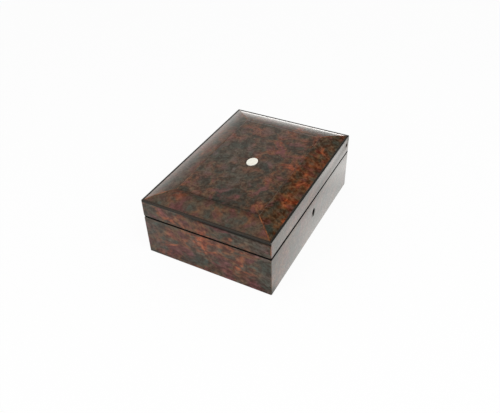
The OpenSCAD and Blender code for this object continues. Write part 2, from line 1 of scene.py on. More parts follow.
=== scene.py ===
"""A lockable wooden money box: the looks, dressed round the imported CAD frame.

The box is a dovetailed carcass under burr veneer and French polish. Its lid is a cushion of four
mitred leaves round a flat centre leaf, edged with ebonised strips and inlaid with an oval of shell.
Inside are velvet linings, a box lock with its link plate, and two brass butt hinges.

Lengths are in metres in the CAD's frame: +Z up, the keyhole's front faces -Y. Sizes that are easier
to read in millimetres are written so and multiplied by MM. Places come from the CAD nodes' boxes.
"""

import logging
import math
from dataclasses import dataclass
from enum import Enum, StrEnum
from typing import Sequence

import bmesh
import bpy
import numpy as np
from bpy.types import Material, Node, NodeSocket, NodeTree, Object, World
from mathutils import Matrix, Vector


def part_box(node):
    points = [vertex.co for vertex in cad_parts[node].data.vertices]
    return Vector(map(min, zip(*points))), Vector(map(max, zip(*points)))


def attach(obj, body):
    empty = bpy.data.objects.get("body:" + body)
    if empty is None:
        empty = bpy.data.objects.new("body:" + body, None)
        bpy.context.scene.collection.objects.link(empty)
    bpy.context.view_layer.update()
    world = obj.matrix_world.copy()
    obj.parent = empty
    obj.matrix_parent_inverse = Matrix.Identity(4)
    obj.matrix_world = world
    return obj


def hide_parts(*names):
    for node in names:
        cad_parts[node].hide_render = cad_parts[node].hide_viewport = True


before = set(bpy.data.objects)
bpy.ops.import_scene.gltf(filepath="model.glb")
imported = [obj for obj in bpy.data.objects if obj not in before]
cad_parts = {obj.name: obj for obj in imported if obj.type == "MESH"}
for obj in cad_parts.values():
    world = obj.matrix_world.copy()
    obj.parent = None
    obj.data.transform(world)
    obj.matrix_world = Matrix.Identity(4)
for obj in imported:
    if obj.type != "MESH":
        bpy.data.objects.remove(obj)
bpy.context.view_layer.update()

MM = 0.001
LOG = logging.getLogger("money_box")
SHARP_DEG = 32.0  # the turn at which an edge counts as an arris

Colour = tuple[float, float, float, float]


class Body(StrEnum):
    """The CAD bodies that a piece can move with."""

    BASE = "base"
    LID = "lid"
    BOLT = "lock_bolt"


# ---------------------------------------------------------------- helpers: colour and nodes


def linear(hex_colour: str) -> Colour:
    """Turns an sRGB hex colour into the linear values that a shader takes.

    Each channel c is c / 12.92 below 0.04045, and ((c + 0.055) / 1.055) to the power 2.4 above.

    Args:
        hex_colour: six hex digits.

    Returns:
        Red, green, blue and an alpha of 1.
    """
    srgb = np.array([int(hex_colour[i : i + 2], 16) for i in (0, 2, 4)]) / 255
    values = np.where(srgb <= 0.04045, srgb / 12.92, ((srgb + 0.055) / 1.055) ** 2.4)
    return (*map(float, values), 1.0)


@dataclass(frozen=True)
class Field:
    """What a node gives over a piece: its first output, or the one that is named.

    Fields and numbers are added, subtracted and multiplied by their signs.
    """

    node: Node
    output: str | None = None

    @property
    def tree(self) -> NodeTree:
        """The node's tree."""
        return self.node.id_data

    @property
    def socket(self) -> NodeSocket:
        """The named output, or the first that the node's settings leave on."""
        outputs = self.node.outputs
        return outputs[self.output] if self.output else next(out for out in outputs if out.enabled)

    def __getitem__(self, output: str) -> "Field":
        """Gives another output of the same node."""
        return Field(self.node, output)

    def __add__(self, other: "Number") -> "Field":
        """Adds a number or a field."""
        return add(self.tree, "Math", {0: self, 1: other}, operation="ADD")

    def __sub__(self, other: "Number") -> "Field":
        """Takes a number or a field away."""
        return add(self.tree, "Math", {0: self, 1: other}, operation="SUBTRACT")

    def __rsub__(self, number: float) -> "Field":
        """Takes the field away from a number."""
        return add(self.tree, "Math", {0: number, 1: self}, operation="SUBTRACT")

    def __mul__(self, other: "Number") -> "Field":
        """Multiplies by a number or a field."""
        return add(self.tree, "Math", {0: self, 1: other}, operation="MULTIPLY")

    def __abs__(self) -> "Field":
        """Drops the sign."""
        return add(self.tree, "Math", {0: self}, operation="ABSOLUTE")

    def least(self, other: "Number") -> "Field":
        """Gives the lesser of the two."""
        return add(self.tree, "Math", {0: self, 1: other}, operation="MINIMUM")

    def most(self, other: "Number") -> "Field":
        """Gives the greater of the two."""
        return add(self.tree, "Math", {0: self, 1: other}, operation="MAXIMUM")

    def above(self, level: float) -> "Field":
        """Gives 1 where the field is above a level, and else 0."""
        return add(self.tree, "Math", {0: self, 1: level}, operation="GREATER_THAN")

    def below(self, level: "Number") -> "Field":
        """Gives 1 where the field is below a level, and else 0."""
        return add(self.tree, "Math", {0: self, 1: level}, operation="LESS_THAN")

    def fade(self, full_at: float, gone_at: float, strength: float) -> "Field":
        """Turns the field into a patch that falls off smoothly.

        Args:
            full_at: the value at which it is at its full strength.
            gone_at: the value at which it is nil.
            strength: its full strength.

        Returns:
            The faded field.
        """
        sockets = {"Value": self, "From Min": gone_at, "From Max": full_at, "To Min": 0.0, "To Max": strength}
        return add(self.tree, "MapRange", sockets, interpolation_type="SMOOTHSTEP")


Number = float | Field


def plug(node: Node, sockets: dict) -> None:
    """Gives each input of a node its value or the output that feeds it.

    Args:
        node: the node.
        sockets: input name or number to a value, to a hex colour, or to the field that feeds it.
    """
    for name, value in sockets.items():
        if isinstance(value, Field):
            node.id_data.links.new(value.socket, node.inputs[name])
        else:
            node.inputs[name].default_value = linear(value) if isinstance(value, str) else value


def add(
    tree: NodeTree,
    kind: str,
    sockets: dict | None = None,
    stops: Sequence[tuple[float, str | float]] = (),
    **settings: object,
) -> Field:
    """Adds a node with its settings, its input values and its incoming links.

    Args:
        tree: the node tree.
        kind: the shader node's type, such as Math.
        sockets: input name or number to a value, to a hex colour, or to the field that feeds it.
        stops: for a colour ramp, each stop's place, with its hex colour or its level of grey.
        **settings: the node's own properties.

    Returns:
        What the new node gives.
    """
    node = tree.nodes.new(f"ShaderNode{kind}")
    for name, value in settings.items():
        setattr(node, name, value)
    plug(node, sockets or {})
    for i, (place, colour) in enumerate(stops):
        elements = node.color_ramp.elements
        element = elements[i] if i < len(elements) else elements.new(1.0)
        element.position = place
        element.color = linear(colour) if isinstance(colour, str) else (colour, colour, colour, 1.0)
    return Field(node)


def empty_tree(owner: Material | World) -> NodeTree:
    """Turns a material's or a world's nodes on and clears them.

    Args:
        owner: the material or the world.

    Returns:
        Its node tree.
    """
    owner.use_nodes = True
    owner.node_tree.nodes.clear()
    return owner.node_tree


def new_material(name: str) -> tuple[Material, NodeTree, Node]:
    """Makes an empty node material with its Principled shader joined to the output.

    Args:
        name: the material's name.

    Returns:
        The material, its tree and the Principled node.
    """
    material = bpy.data.materials.new(name)
    tree = empty_tree(material)
    shader = add(tree, "BsdfPrincipled")
    add(tree, "OutputMaterial", {"Surface": shader})
    return material, tree, shader.node


def millimetres(
    tree: NodeTree,
    offset_mm: Sequence[float] = (0, 0, 0),
    turn_deg: Sequence[float] = (0, 0, 0),
    stretch: Sequence[float] = (1, 1, 1),
) -> Field:
    """Gives a piece's own coordinates in millimetres, moved, turned and stretched for its pattern.

    Args:
        tree: the node tree.
        offset_mm: how far the pattern is moved.
        turn_deg: how far the pattern is turned about X, Y and Z.
        stretch: how many times finer the pattern is along each axis.

    Returns:
        The place.
    """
    sockets = {
        "Vector": add(tree, "TexCoord")["Object"],
        "Location": tuple(offset_mm),
        "Rotation": tuple(math.radians(a) for a in turn_deg),
        "Scale": tuple(s / MM for s in stretch),
    }
    return add(tree, "Mapping", sockets)


# ---------------------------------------------------------------- helpers: meshes


def linked(name: str, data: bpy.types.ID) -> Object:
    """Makes an object and links it to the scene.

    Args:
        name: its name.
        data: its mesh, lamp or camera.

    Returns:
        The object.
    """
    made = bpy.data.objects.new(name, data)
    bpy.context.scene.collection.objects.link(made)
    return made


def finish_mesh(piece: Object) -> Object:
    """Merges a piece's doubled points, points its faces outwards and smooths its gentle edges.

    Edges that turn by more than SHARP_DEG stay sharp.

    Args:
        piece: the mesh object.

    Returns:
        The same object.
    """
    work = bmesh.new()
    work.from_mesh(piece.data)
    bmesh.ops.remove_doubles(work, verts=work.verts, dist=1e-7)
    bmesh.ops.dissolve_degenerate(work, edges=work.edges, dist=1e-8)
    bmesh.ops.recalc_face_normals(work, faces=work.faces)
    work.to_mesh(piece.data)
    work.free()
    piece.data.shade_smooth()
    piece.data.set_sharp_from_angle(angle=math.radians(SHARP_DEG))
    return piece


def mesh_piece(name: str, points: np.ndarray, faces: list) -> Object:
    """Makes a finished mesh object from points and faces.

    Args:
        name: the piece's name.
        points: an array of points, one row each.
        faces: rows of point numbers.

    Returns:
        The object, linked to the scene.
    """
    mesh = bpy.data.meshes.new(name)
    mesh.from_pydata(points.tolist(), [], faces)
    return finish_mesh(linked(name, mesh))


def quads(rows: int, columns: int, first: int = 0) -> np.ndarray:
    """Numbers the four corners of each cell in a grid of points that is stored row by row."""
    corner = (np.arange(rows - 1)[:, None] * columns + np.arange(columns - 1)[None, :]).ravel() + first
    return np.stack([corner, corner + 1, corner + columns + 1, corner + columns], axis=1)


def shell(name: str, top: np.ndarray, bottom: np.ndarray, ring: bool = False) -> Object:
    """Makes the closed solid between two grids of points that match each other.

    The top grid's cells, the bottom grid's cells and a wall along the borders are its faces. A ring's
    last column lies on its first, so it has a wall along its first and last rows only.

    Args:
        name: the piece's name.
        top: points as rows, columns and x, y, z.
        bottom: the points under them.
        ring: whether the grid closes on itself.

    Returns:
        The object.
    """
    rows, columns = top.shape[:2]
    count = rows * columns
    near, far = np.arange(columns), (rows - 1) * columns + np.arange(columns - 1, -1, -1)
    if ring:
        start = np.concatenate([near[:-1], far[:-1]])
        ahead = np.concatenate([near[1:], far[1:]])
    else:
        ends = np.arange(1, rows - 1) * columns
        start = np.concatenate([near, ends + columns - 1, far, ends[::-1]])
        ahead = np.roll(start, -1)
    wall = np.stack([start, ahead, ahead + count, start + count], axis=1)
    faces = np.concatenate([quads(rows, columns), quads(rows, columns, count)[:, ::-1], wall])
    points = np.concatenate([top.reshape(-1, 3), bottom.reshape(-1, 3)])
    return mesh_piece(name, points, faces.tolist())


def swept(name: str, rings: np.ndarray) -> Object:
    """Makes the closed solid that a closed profile leaves as it is carried along a path.

    Args:
        name: the piece's name.
        rings: points as places on the path, points round the profile, and x, y, z.

    Returns:
        The object, with a flat cap at each end.
    """
    rows, columns = rings.shape[:2]
    closed = np.concatenate([rings, rings[:, :1]], axis=1)
    faces = quads(rows, columns + 1).tolist()
    first = np.arange(columns)
    last = (rows - 1) * (columns + 1) + first
    faces += [first[::-1].tolist(), last.tolist()]
    return mesh_piece(name, closed.reshape(-1, 3), faces)


def rounded(corners: Sequence[Sequence[float]], radii: Sequence[float], steps: int = 5) -> np.ndarray:
    """Rounds the corners of a closed outline, in order.

    At each corner the arc touches both sides at radius / tan(half the corner's angle) from it, and
    its centre lies on the bisector.

    Args:
        corners: the outline's corners, as x and y.
        radii: each corner's radius. None is left sharp by a radius of 0.
        steps: the points on each arc.

    Returns:
        The outline's points.
    """
    points = np.array(corners, float)
    out = []
    for i, radius in enumerate(radii):
        here, before, after = points[i], points[i - 1], points[(i + 1) % len(points)]
        if radius <= 0:
            out.append(here[None, :])
            continue
        a = (before - here) / np.linalg.norm(before - here)
        b = (after - here) / np.linalg.norm(after - here)
        half = math.acos(float(np.clip(a @ b, -1, 1))) / 2
        centre = here + (a + b) / np.linalg.norm(a + b) * radius / math.sin(half)
        start = here + a * radius / math.tan(half) - centre
        end = here + b * radius / math.tan(half) - centre
        turn = np.linspace(0, 1, steps)[:, None] * (math.pi - 2 * half)
        total = math.sin(math.pi - 2 * half)
        out.append(centre + (start * np.sin(math.pi - 2 * half - turn) + end * np.sin(turn)) / total)
    return np.concatenate(out)


def prism(name: str, outline: np.ndarray, axis: str, low: float, high: float) -> Object:
    """Makes a prism, the solid that a flat outline sweeps along one axis.

    Args:
        name: the piece's name.
        outline: points across the axis, in x, y, z order with the axis left out.
        axis: x, y or z.
        low: where the prism starts along the axis.
        high: where it ends.

    Returns:
        The object.
    """
    place = "xyz".index(axis)
    rings = np.stack([np.insert(outline, place, level, axis=1) for level in (low, high)])
    return swept(name, rings)


def cut(piece: Object, cutter: Object) -> Object:
    """Takes the cutter's solid out of a piece, and deletes the cutter.

    Args:
        piece: what is cut.
        cutter: a closed solid.

    Returns:
        The piece, with a new mesh.
    """
    modifier = piece.modifiers.new("cut", "BOOLEAN")
    modifier.operation = "DIFFERENCE"
    modifier.solver = "EXACT"
    modifier.object = cutter
    graph = bpy.context.evaluated_depsgraph_get()
    mesh = bpy.data.meshes.new_from_object(piece.evaluated_get(graph))
    piece.modifiers.clear()
    piece.data = mesh
    bpy.data.objects.remove(cutter)
    return finish_mesh(piece)


def eased_copy(node: str, ease: float, steps: int = 2) -> Object:
    """Copies a CAD node with its arrises eased, as a file or a polishing wheel leaves them.

    Args:
        node: the CAD node's name.
        ease: the width taken off each arris.
        steps: the facets across each eased arris.

    Returns:
        The copy, which stands for the node.
    """
    piece = linked(f"{node}.eased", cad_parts[node].data.copy())
    work = bmesh.new()
    work.from_mesh(piece.data)
    bmesh.ops.remove_doubles(work, verts=work.verts, dist=1e-6)
    bmesh.ops.dissolve_limit(
        work, angle_limit=math.radians(0.5), verts=work.verts, edges=work.edges, use_dissolve_boundaries=False
    )
    sharp = [e for e in work.edges if e.is_manifold and e.calc_face_angle(0) > math.radians(SHARP_DEG)]
    bmesh.ops.bevel(
        work, geom=sharp, offset=ease, segments=steps, profile=0.5, affect="EDGES", clamp_overlap=True
    )
    bmesh.ops.triangulate(work, faces=[f for f in work.faces if len(f.verts) > 4])
    work.to_mesh(piece.data)
    work.free()
    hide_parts(node)
    return finish_mesh(piece)


def dress(piece: Object, material: Material, body: Body) -> Object:
    """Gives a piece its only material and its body.

    Args:
        piece: the piece.
        material: its finish.
        body: the CAD body that it moves with.

    Returns:
        The same piece.
    """
    piece.data.materials.clear()
    piece.data.materials.append(material)
    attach(piece, body.value)
    LOG.info("%s: %d faces, rides on %s", piece.name, len(piece.data.polygons), body)
    return piece


# ---------------------------------------------------------------- finishes


@dataclass(frozen=True)
class Spot:
    """A round place on a leaf where something is stronger or weaker than elsewhere.

    Attributes:
        centre_mm: the place, in the box's own frame.
        reach_mm: the distance at which it has faded out.
        strength: how much it adds in its middle, or takes away below 0.
    """

    centre_mm: tuple[float, float, float]
    reach_mm: float
    strength: float


def spots(*rows: tuple[float, float, float, float, float]) -> tuple[Spot, ...]:
    """Makes spots from rows of x, y, z, reach and strength."""
    return tuple(Spot(row[:3], *row[3:]) for row in rows)


def left_spots(*rows: tuple[float, float, float, float]) -> tuple[Spot, ...]:
    """Makes spots on the left end from rows of y, z, reach and strength."""
    return spots(*((-BurrLeaf.half_box_mm[0], *row) for row in rows))


def top_spots(*rows: tuple[float, float, float, float]) -> tuple[Spot, ...]:
    """Makes spots on the lid's flat top from rows of x, y, reach and strength."""
    return spots(*((x, y, BurrLeaf.crest_mm, *rest) for x, y, *rest in rows))


def spotted(tree: NodeTree, patches: Sequence[Spot], start: float) -> Field:
    """Adds up spots over a starting value. Each one fades out smoothly at its reach.

    Args:
        tree: the node tree.
        patches: the spots.
        start: the value away from all spots.

    Returns:
        The field.
    """
    place = millimetres(tree)
    total = add(tree, "Value")
    total.socket.default_value = start
    for spot in patches:
        away = add(tree, "VectorMath", {0: place, 1: spot.centre_mm}, operation="DISTANCE")
        total = total + away["Value"].fade(0.0, spot.reach_mm, spot.strength)
    return total


class LeafPlace(Enum):
    """Where on the box a leaf lies, which settles where it is stained, painted with shade and worn."""

    SIDE = "side"
    CUSHION = "cushion"


@dataclass(frozen=True)
class BurrLeaf:
    """Burr veneer under old French polish.

    Thuya-like burr: a green-black ground that clouds over into brown, rust and orange. The clouds are
    soft, drawn into curls, and dotted with small eyes. Shellac polish gives it a clear gloss coat,
    so that at a low angle the leaf mirrors what is round it, and its colour shows where it faces
    the eye. On the sides that gloss is weakened towards the foot and just above the seam, as
    painted shade in what it mirrors. Shade is also painted as a dark, dull band along the seam and
    inside and round the keyhole. Dirt lies in the leaf joints and at a chip, a dark band lies under
    part of the edging, and the corners are worn.

    Attributes:
        name: the material's name.
        place: where on the box the leaf lies.
        offset_mm: where on the burr the leaf was cut.
        turn_deg: how the leaf was turned on the box.
        warmth: how much of the leaf is orange, from about -0.2 to 0.2.
        play: how far its colour swings between green-black and orange.
        figure_spots: places that are more orange, or darker below 0.
        stains_and_shade: dark places: stains, and painted shade such as that in the keyhole.
        crimsons: places that are tinted crimson.
        greens: places that are tinted grey-green.
        stretch: how many times finer the figure is along each axis.
        mottle: how strong the light and dark mottle is.
        tints: how strong the crimson and green clouds are.
        shade_mm: the size of the lighter and darker patches.
        shades: how strong those patches are.
    """

    name: str
    place: LeafPlace
    offset_mm: tuple[float, float, float]
    turn_deg: tuple[float, float, float] = (0, 0, 0)
    warmth: float = 0.0
    play: float = 1.0
    figure_spots: tuple[Spot, ...] = ()
    stains_and_shade: tuple[Spot, ...] = ()
    crimsons: tuple[Spot, ...] = ()
    greens: tuple[Spot, ...] = ()
    stretch: tuple[float, float, float] = (1.0, 1.0, 1.0)
    mottle: float = 1.0
    tints: float = 1.0
    shade_mm: float = 8.0
    shades: float = 1.0

    swirl_mm = (30.0, 16.0)  # size of the wide swirls, and how far they drag the figure
    cloud_mm = 26.0  # size of the soft clouds
    cloud_share = 2.8  # how much they change the colour
    flame_mm = 7.0  # size of the figure inside them
    flame_share = 0.5
    curl_mm = 3.5  # how far its curls drag it
    grit_mm = 4.0  # size of the mottle inside that, whose finest grain is an eighth of it
    grit_share = 6.8
    patch_share = 3.4  # how much the lighter and darker patches add to the mottle
    ripples = (90.0, 0.08)  # how close the ripples in the figure lie, and how strong they are
    eye_mm = 3.4  # distance between eyes
    bud_mm = 15.0  # distance between the warm buds that eyes gather round
    hue_mm = 14.0  # size of the crimson and green tints
    wave_mm = 7.0  # size of the unevenness in the polish
    grain_shares = (0.66, 1.0, 1.4)  # how much the mottle lightens red, green and blue
    wood_stops = (
        *((0.10, "28261c"), (0.32, "3b3022"), (0.50, "4d3621")),
        *((0.64, "5c381d"), (0.80, "6e3a1d"), (0.96, "8a4220")),
    )
    half_box_mm = (130.0, 93.0)  # half of the box's length and width
    edging_mm = 3.0
    border_mm = 30.0
    seam_mm = 62.6  # height of the seam's middle
    crest_mm = 95.0  # height of the lid's flat top
    crimson = "572826"
    green = "2e3329"
    bleached = "3b392d"  # the grey-green of the greens
    rubbed = "93552f"  # bare wood at worn edges
    # near black, for dirt and for painted shade along the seam and in the keyhole
    dirt_and_shade = "0b0907"

    @staticmethod
    def chosen(cells: Field, left_out: float) -> Field:
        """Gives 1 in cells of a Voronoi texture that their random colour picks, and 0 in the rest."""
        return add(cells.tree, "SeparateColor", {0: cells["Color"]}).above(left_out)

    @staticmethod
    def dragged(place: Field, size_mm: float, by_mm: float) -> Field:
        """Drags a pattern about by a noise.

        Args:
            place: the place in millimetres.
            size_mm: the size of the noise.
            by_mm: how far it drags at the most.

        Returns:
            The dragged place.
        """
        tree = place.tree
        pull = add(tree, "TexNoise", {"Vector": place, "Scale": 1 / size_mm})["Color"]
        centred = add(tree, "VectorMath", {0: pull, 1: (0.5, 0.5, 0.5)}, operation="SUBTRACT")
        sockets = {0: centred, 1: (by_mm, by_mm, by_mm), 2: place}
        return add(tree, "VectorMath", sockets, operation="MULTIPLY_ADD")

    def side_edges(self, x: Field, y: Field, z: Field) -> tuple[Field, Field]:
        """Gives how dark and dull, and how worn, each place on the box's sides is, from 0 to 1.

        The distance to the box's upright corner is (130 - |x|) + (93 - |y|), since one of the two is
        nil. Shade is painted as a dark, dull band along the seam, the gap between lid and base, and it
        spreads on the front towards the left. A dark band also lies under the edging on the near half of
        the left end. The corners are worn, the lid's more than the base's.

        Args:
            x: the place along the box, in millimetres.
            y: the place across it.
            z: the height.

        Returns:
            The painted seam shade with the band under the edging, and the wear.
        """
        corner = self.half_box_mm[0] - abs(x) + (self.half_box_mm[1] - abs(y))
        worn = z.above(self.seam_mm) * corner.fade(0.4, 2.6, 0.4) + corner.fade(0.4, 1.5, 0.15)
        on_left, on_front = (v.below(1.0 - half) for v, half in zip((x, y), self.half_box_mm))
        spread = (x.fade(-30.0, 60.0, 0.45) + 0.3) * on_front
        # painted shade of the gap between lid and base, widened on the front towards the left
        seam_shade = (abs(z - self.seam_mm) - spread).fade(1.15, 1.7, 1.0)
        under_edging = z.fade(85.5, 82.0, 0.85) * y.fade(-10.0, 60.0, 1.0) * on_left
        return seam_shade.most(under_edging), worn

    def cushion_edges(self, x: Field, y: Field, dusty: Field) -> tuple[Field, Field]:
        """Gives how dark and how worn each place on the cushion is, from 0 to 1.

        A joint's distance is that to the hip, |(127 - |x|) - (90 - |y|)| / sqrt 2, which ends at the
        centre leaf, or to the crest, |lesser - 30|. A fine dusty line lies in each joint, and a soft
        dark band lies along the left crest. The hips are worn.

        Args:
            x: the place along the box, in millimetres.
            y: the place across it.
            dusty: the noise that the dust in the joints follows.

        Returns:
            The dusty lines and the crest's dark band, and the wear.
        """
        from_end = self.half_box_mm[0] - self.edging_mm - abs(x)
        from_side = self.half_box_mm[1] - self.edging_mm - abs(y)
        least = from_end.least(from_side)
        crest = abs(least - self.border_mm)
        hip = abs(from_end - from_side) * math.sqrt(0.5) + least.above(self.border_mm) * 99.0
        at_left = from_end.below(from_side) * x.below(0)
        line = hip.least(crest).fade(0.08, 0.30, 0.8) * dusty
        return line.most(crest.fade(0.0, 6.0, 0.5) * at_left), hip.fade(0.2, 1.1, 1.0)

    def edges(self, tree: NodeTree) -> tuple[Field, Field]:
        """Gives how dark and dull, from dirt and painted shade, and how worn each place is, by its
        distance from an edge. Wear is patchy.

        Args:
            tree: the node tree.

        Returns:
            The dirt and painted shade, and the wear.
        """
        place = millimetres(tree)
        rub = add(tree, "TexNoise", {"Vector": place, "Scale": 1 / 9.0, "Detail": 4.0})
        rubbed = rub.fade(0.58, 0.46, 1.0)
        split = add(tree, "SeparateXYZ", {0: place})
        x, y, z = (split[axis] for axis in "XYZ")
        if self.place is LeafPlace.SIDE:
            edge_dirt_and_shade, worn = self.side_edges(x, y, z)
            return edge_dirt_and_shade, worn * rubbed
        edge_dirt_and_shade, worn = self.cushion_edges(x, y, rub.fade(0.42, 0.56, 1.0))
        return edge_dirt_and_shade, worn * (rubbed * 0.5 + 0.45)

    def shaded_gloss(self, tree: NodeTree) -> Field:
        """Gives the share of a side's gloss that is taken away towards the foot and just above the seam,
        fading up the lid, as painted shade: the floor that the polish mirrors is darker near the box.

        Args:
            tree: the node tree.

        Returns:
            The share.
        """
        height = add(tree, "SeparateXYZ", {0: millimetres(tree)})["Z"]
        # painted shade in the reflection: less gloss just above the seam and towards the foot
        lid_edge = height.above(self.seam_mm) * height.fade(self.seam_mm, 110.0, 0.4)
        return lid_edge + height.fade(0.0, 58.0, 0.38)

    def wood(self, curled: Field, clouds: Field, flames: Field, hue: Field) -> Field:
        """Gives the wood's colour before its mottle: warm and dark clouds, warm buds and the tints.

        Args:
            curled: the leaf's place after its curls.
            clouds: the noise of the soft clouds.
            flames: the noise of the figure inside them.
            hue: the noise that tints it crimson or green.

        Returns:
            The colour.
        """
        tree = curled.tree
        shares = (self.cloud_share * self.play, self.flame_share * self.play)
        tone = spotted(tree, self.figure_spots, 0.5 + self.warmth - 0.5 * sum(shares))
        tone = flames * shares[1] + (clouds * shares[0] + tone)
        buds = add(tree, "TexVoronoi", {"Vector": curled, "Scale": 1 / self.bud_mm})
        bud = buds.fade(0.12, 0.46, 0.18 * self.play)
        wood = add(tree, "ValToRGB", {0: bud * self.chosen(buds, 0.68) + tone}, self.wood_stops)
        crimson = hue.fade(0.64, 0.51, 0.5 * self.tints) + spotted(tree, self.crimsons, 0.0)
        tints = (
            (crimson, self.crimson),
            (hue.fade(0.36, 0.49, 0.45 * self.tints), self.green),
            (spotted(tree, self.greens, 0.0), self.bleached),
        )
        for share, colour in tints:
            wood = add(tree, "Mix", {"Factor": share, "A": wood, "B": colour}, data_type="RGBA")
        return wood

    def paint(self) -> Material:
        """Builds the material.

        Returns:
            The material.
        """
        material, tree, shader = new_material(self.name)
        place = millimetres(tree, self.offset_mm, self.turn_deg, self.stretch)
        swirled = self.dragged(place, *self.swirl_mm)
        curled = self.dragged(swirled, self.flame_mm, self.curl_mm)
        patterns = (
            (swirled, self.cloud_mm, 2.0, 0.5),
            (curled, self.flame_mm, 2.0, 0.5),
            (swirled, self.hue_mm, 2.0, 0.5),
            (curled, self.grit_mm, 5.0, 0.75),
            (place, self.shade_mm, 3.0, 0.6),
            (place, self.wave_mm, 5.0, 0.6),
        )
        clouds, flames, hue, grit, patches, waves = (
            add(tree, "TexNoise", {"Vector": where, "Scale": 1 / size, "Detail": detail, "Roughness": rough})
            for where, size, detail, rough in patterns
        )
        wood = self.wood(curled, clouds, flames, hue)

        grain = (grit - 0.5) * self.grit_share
        grain = (patches - 0.5) * (self.patch_share * self.shades) + grain
        ripple = add(tree, "Math", {0: (flames + clouds) * self.ripples[0]}, operation="SINE")
        grain = ripple * self.ripples[1] + grain
        eyes = add(tree, "TexVoronoi", {"Vector": curled, "Scale": 1 / self.eye_mm})
        eye = (eyes.fade(0.20, 0.42, 0.25) - eyes.fade(0.10, 0.20, 0.7)) * self.chosen(eyes, 0.5)
        grain = ((grain + eye) * self.mottle).most(-0.75)
        sockets = {0: grain, 1: self.grain_shares, 2: (1, 1, 1)}
        mottle = add(tree, "VectorMath", sockets, operation="MULTIPLY_ADD")
        wood = add(tree, "VectorMath", {0: wood, 1: mottle}, operation="MULTIPLY")

        edge_dirt_and_shade, worn = self.edges(tree)
        # dirt and painted shade: the seam's and keyhole's painted shade, dirt in joints and at the chip; it
        # darkens the wood and dulls the coat
        dirt_and_shade = edge_dirt_and_shade.most(spotted(tree, self.stains_and_shade, 0.0))
        polish = 1.0 - dirt_and_shade
        # on the sides, painted shade in the reflection: the coat is weakened towards the foot and above the
        # seam
        if self.place is LeafPlace.SIDE:
            polish = polish * (1.0 - self.shaded_gloss(tree))
        for share, colour in ((worn, self.rubbed), (dirt_and_shade, self.dirt_and_shade)):
            wood = add(tree, "Mix", {"Factor": share, "A": wood, "B": colour}, data_type="RGBA")
        sockets = {
            "Base Color": wood,
            "Normal": add(tree, "Bump", {"Height": grit, "Strength": 0.25, "Distance": 0.02 * MM}),
            "Roughness": dirt_and_shade * 0.68 + 0.32,
            "IOR": 1.5,
            "Specular IOR Level": 0.12,
            "Coat Weight": polish,
            "Coat Normal": add(tree, "Bump", {"Height": waves, "Strength": 0.5, "Distance": 0.045 * MM}),
            "Coat Roughness": 0.12,
            "Coat IOR": 1.52,
        }
        plug(shader, sockets)
        return material


@dataclass(frozen=True)
class EbonisedPolish:
    """Pear wood stained black and French polished: near black, with a gloss and faint grain.

    Attributes:
        name: the material's name.
        gloss: how much of the polish is left.
        rubbed: its colour on top, where it is rubbed.
    """

    name: str
    gloss: float
    rubbed: str

    top_mm = (88.2, 88.9)  # heights between which the colour changes to the rubbed one

    def paint(self) -> Material:
        """Builds the material. The grain is drawn at 1.2 mm, twice its real width, so that it shows.

        Returns:
            The material.
        """
        material, tree, shader = new_material(self.name)
        along = millimetres(tree, stretch=(0.2, 0.2, 1.0))
        grain = add(tree, "TexNoise", {"Vector": along, "Scale": 1 / 1.2, "Detail": 4.0})
        stained = add(tree, "ValToRGB", {0: grain}, ((0.35, "100e08"), (0.55, "1b1810"), (0.75, "2a2418")))
        height = add(tree, "SeparateXYZ", {0: millimetres(tree)})["Z"]
        on_top = height.fade(self.top_mm[1], self.top_mm[0], 0.8)
        sockets = {
            "Base Color": add(
                tree, "Mix", {"Factor": on_top, "A": stained, "B": self.rubbed}, data_type="RGBA"
            ),
            "Normal": add(tree, "Bump", {"Height": grain, "Strength": 0.2, "Distance": 0.02 * MM}),
            "Roughness": 0.4,
            "Specular IOR Level": 0.25,
            "Coat Weight": self.gloss,
            "Coat Roughness": 0.14,
        }
        plug(shader, sockets)
        return material


@dataclass(frozen=True)
class CarcassWood:
    """Plain mahogany, planed and unpolished: straight brown grain with fine dark pores.

    Attributes:
        name: the material's name.
        stretch: the grain's stretch. It is smallest along the boards.
        stains_and_shade: dark places: dirt where hands and keys have touched it, and painted shade inside the
            keyhole.
    """

    name: str
    stretch: tuple[float, float, float]
    stains_and_shade: tuple[Spot, ...] = ()

    def paint(self) -> Material:
        """Builds the material. Growth rings stand about 3 mm apart, and pores are 0.5 mm wide.

        Returns:
            The material.
        """
        material, tree, shader = new_material(self.name)
        place = millimetres(tree, stretch=self.stretch)
        pores = add(tree, "TexNoise", {"Vector": place, "Scale": 1 / 0.5})
        sockets = {"Vector": place, "Scale": 1 / 3.0, "Detail": 3.0, "Distortion": 0.6}
        rings = add(tree, "TexNoise", sockets)
        wood = add(tree, "ValToRGB", {0: rings}, ((0.3, "6e4426"), (0.5, "85552f"), (0.7, "9c6a3d")))
        pored = add(tree, "MapRange", {"Value": pores, "From Min": 0.62, "From Max": 0.72, "To Max": 0.5})
        # dark pores, then the painted keyhole shade and the dirt of stains_and_shade
        for share, colour in ((pored, "3c2415"), (spotted(tree, self.stains_and_shade, 0.0), BurrLeaf.dirt_and_shade)):
            wood = add(tree, "Mix", {"Factor": share, "A": wood, "B": colour}, data_type="RGBA")
        sockets = {
            "Base Color": wood,
            "Normal": add(tree, "Bump", {"Height": pores, "Strength": 0.4, "Distance": 0.05 * MM}),
            "Roughness": 0.62,
        }
        plug(shader, sockets)
        return material


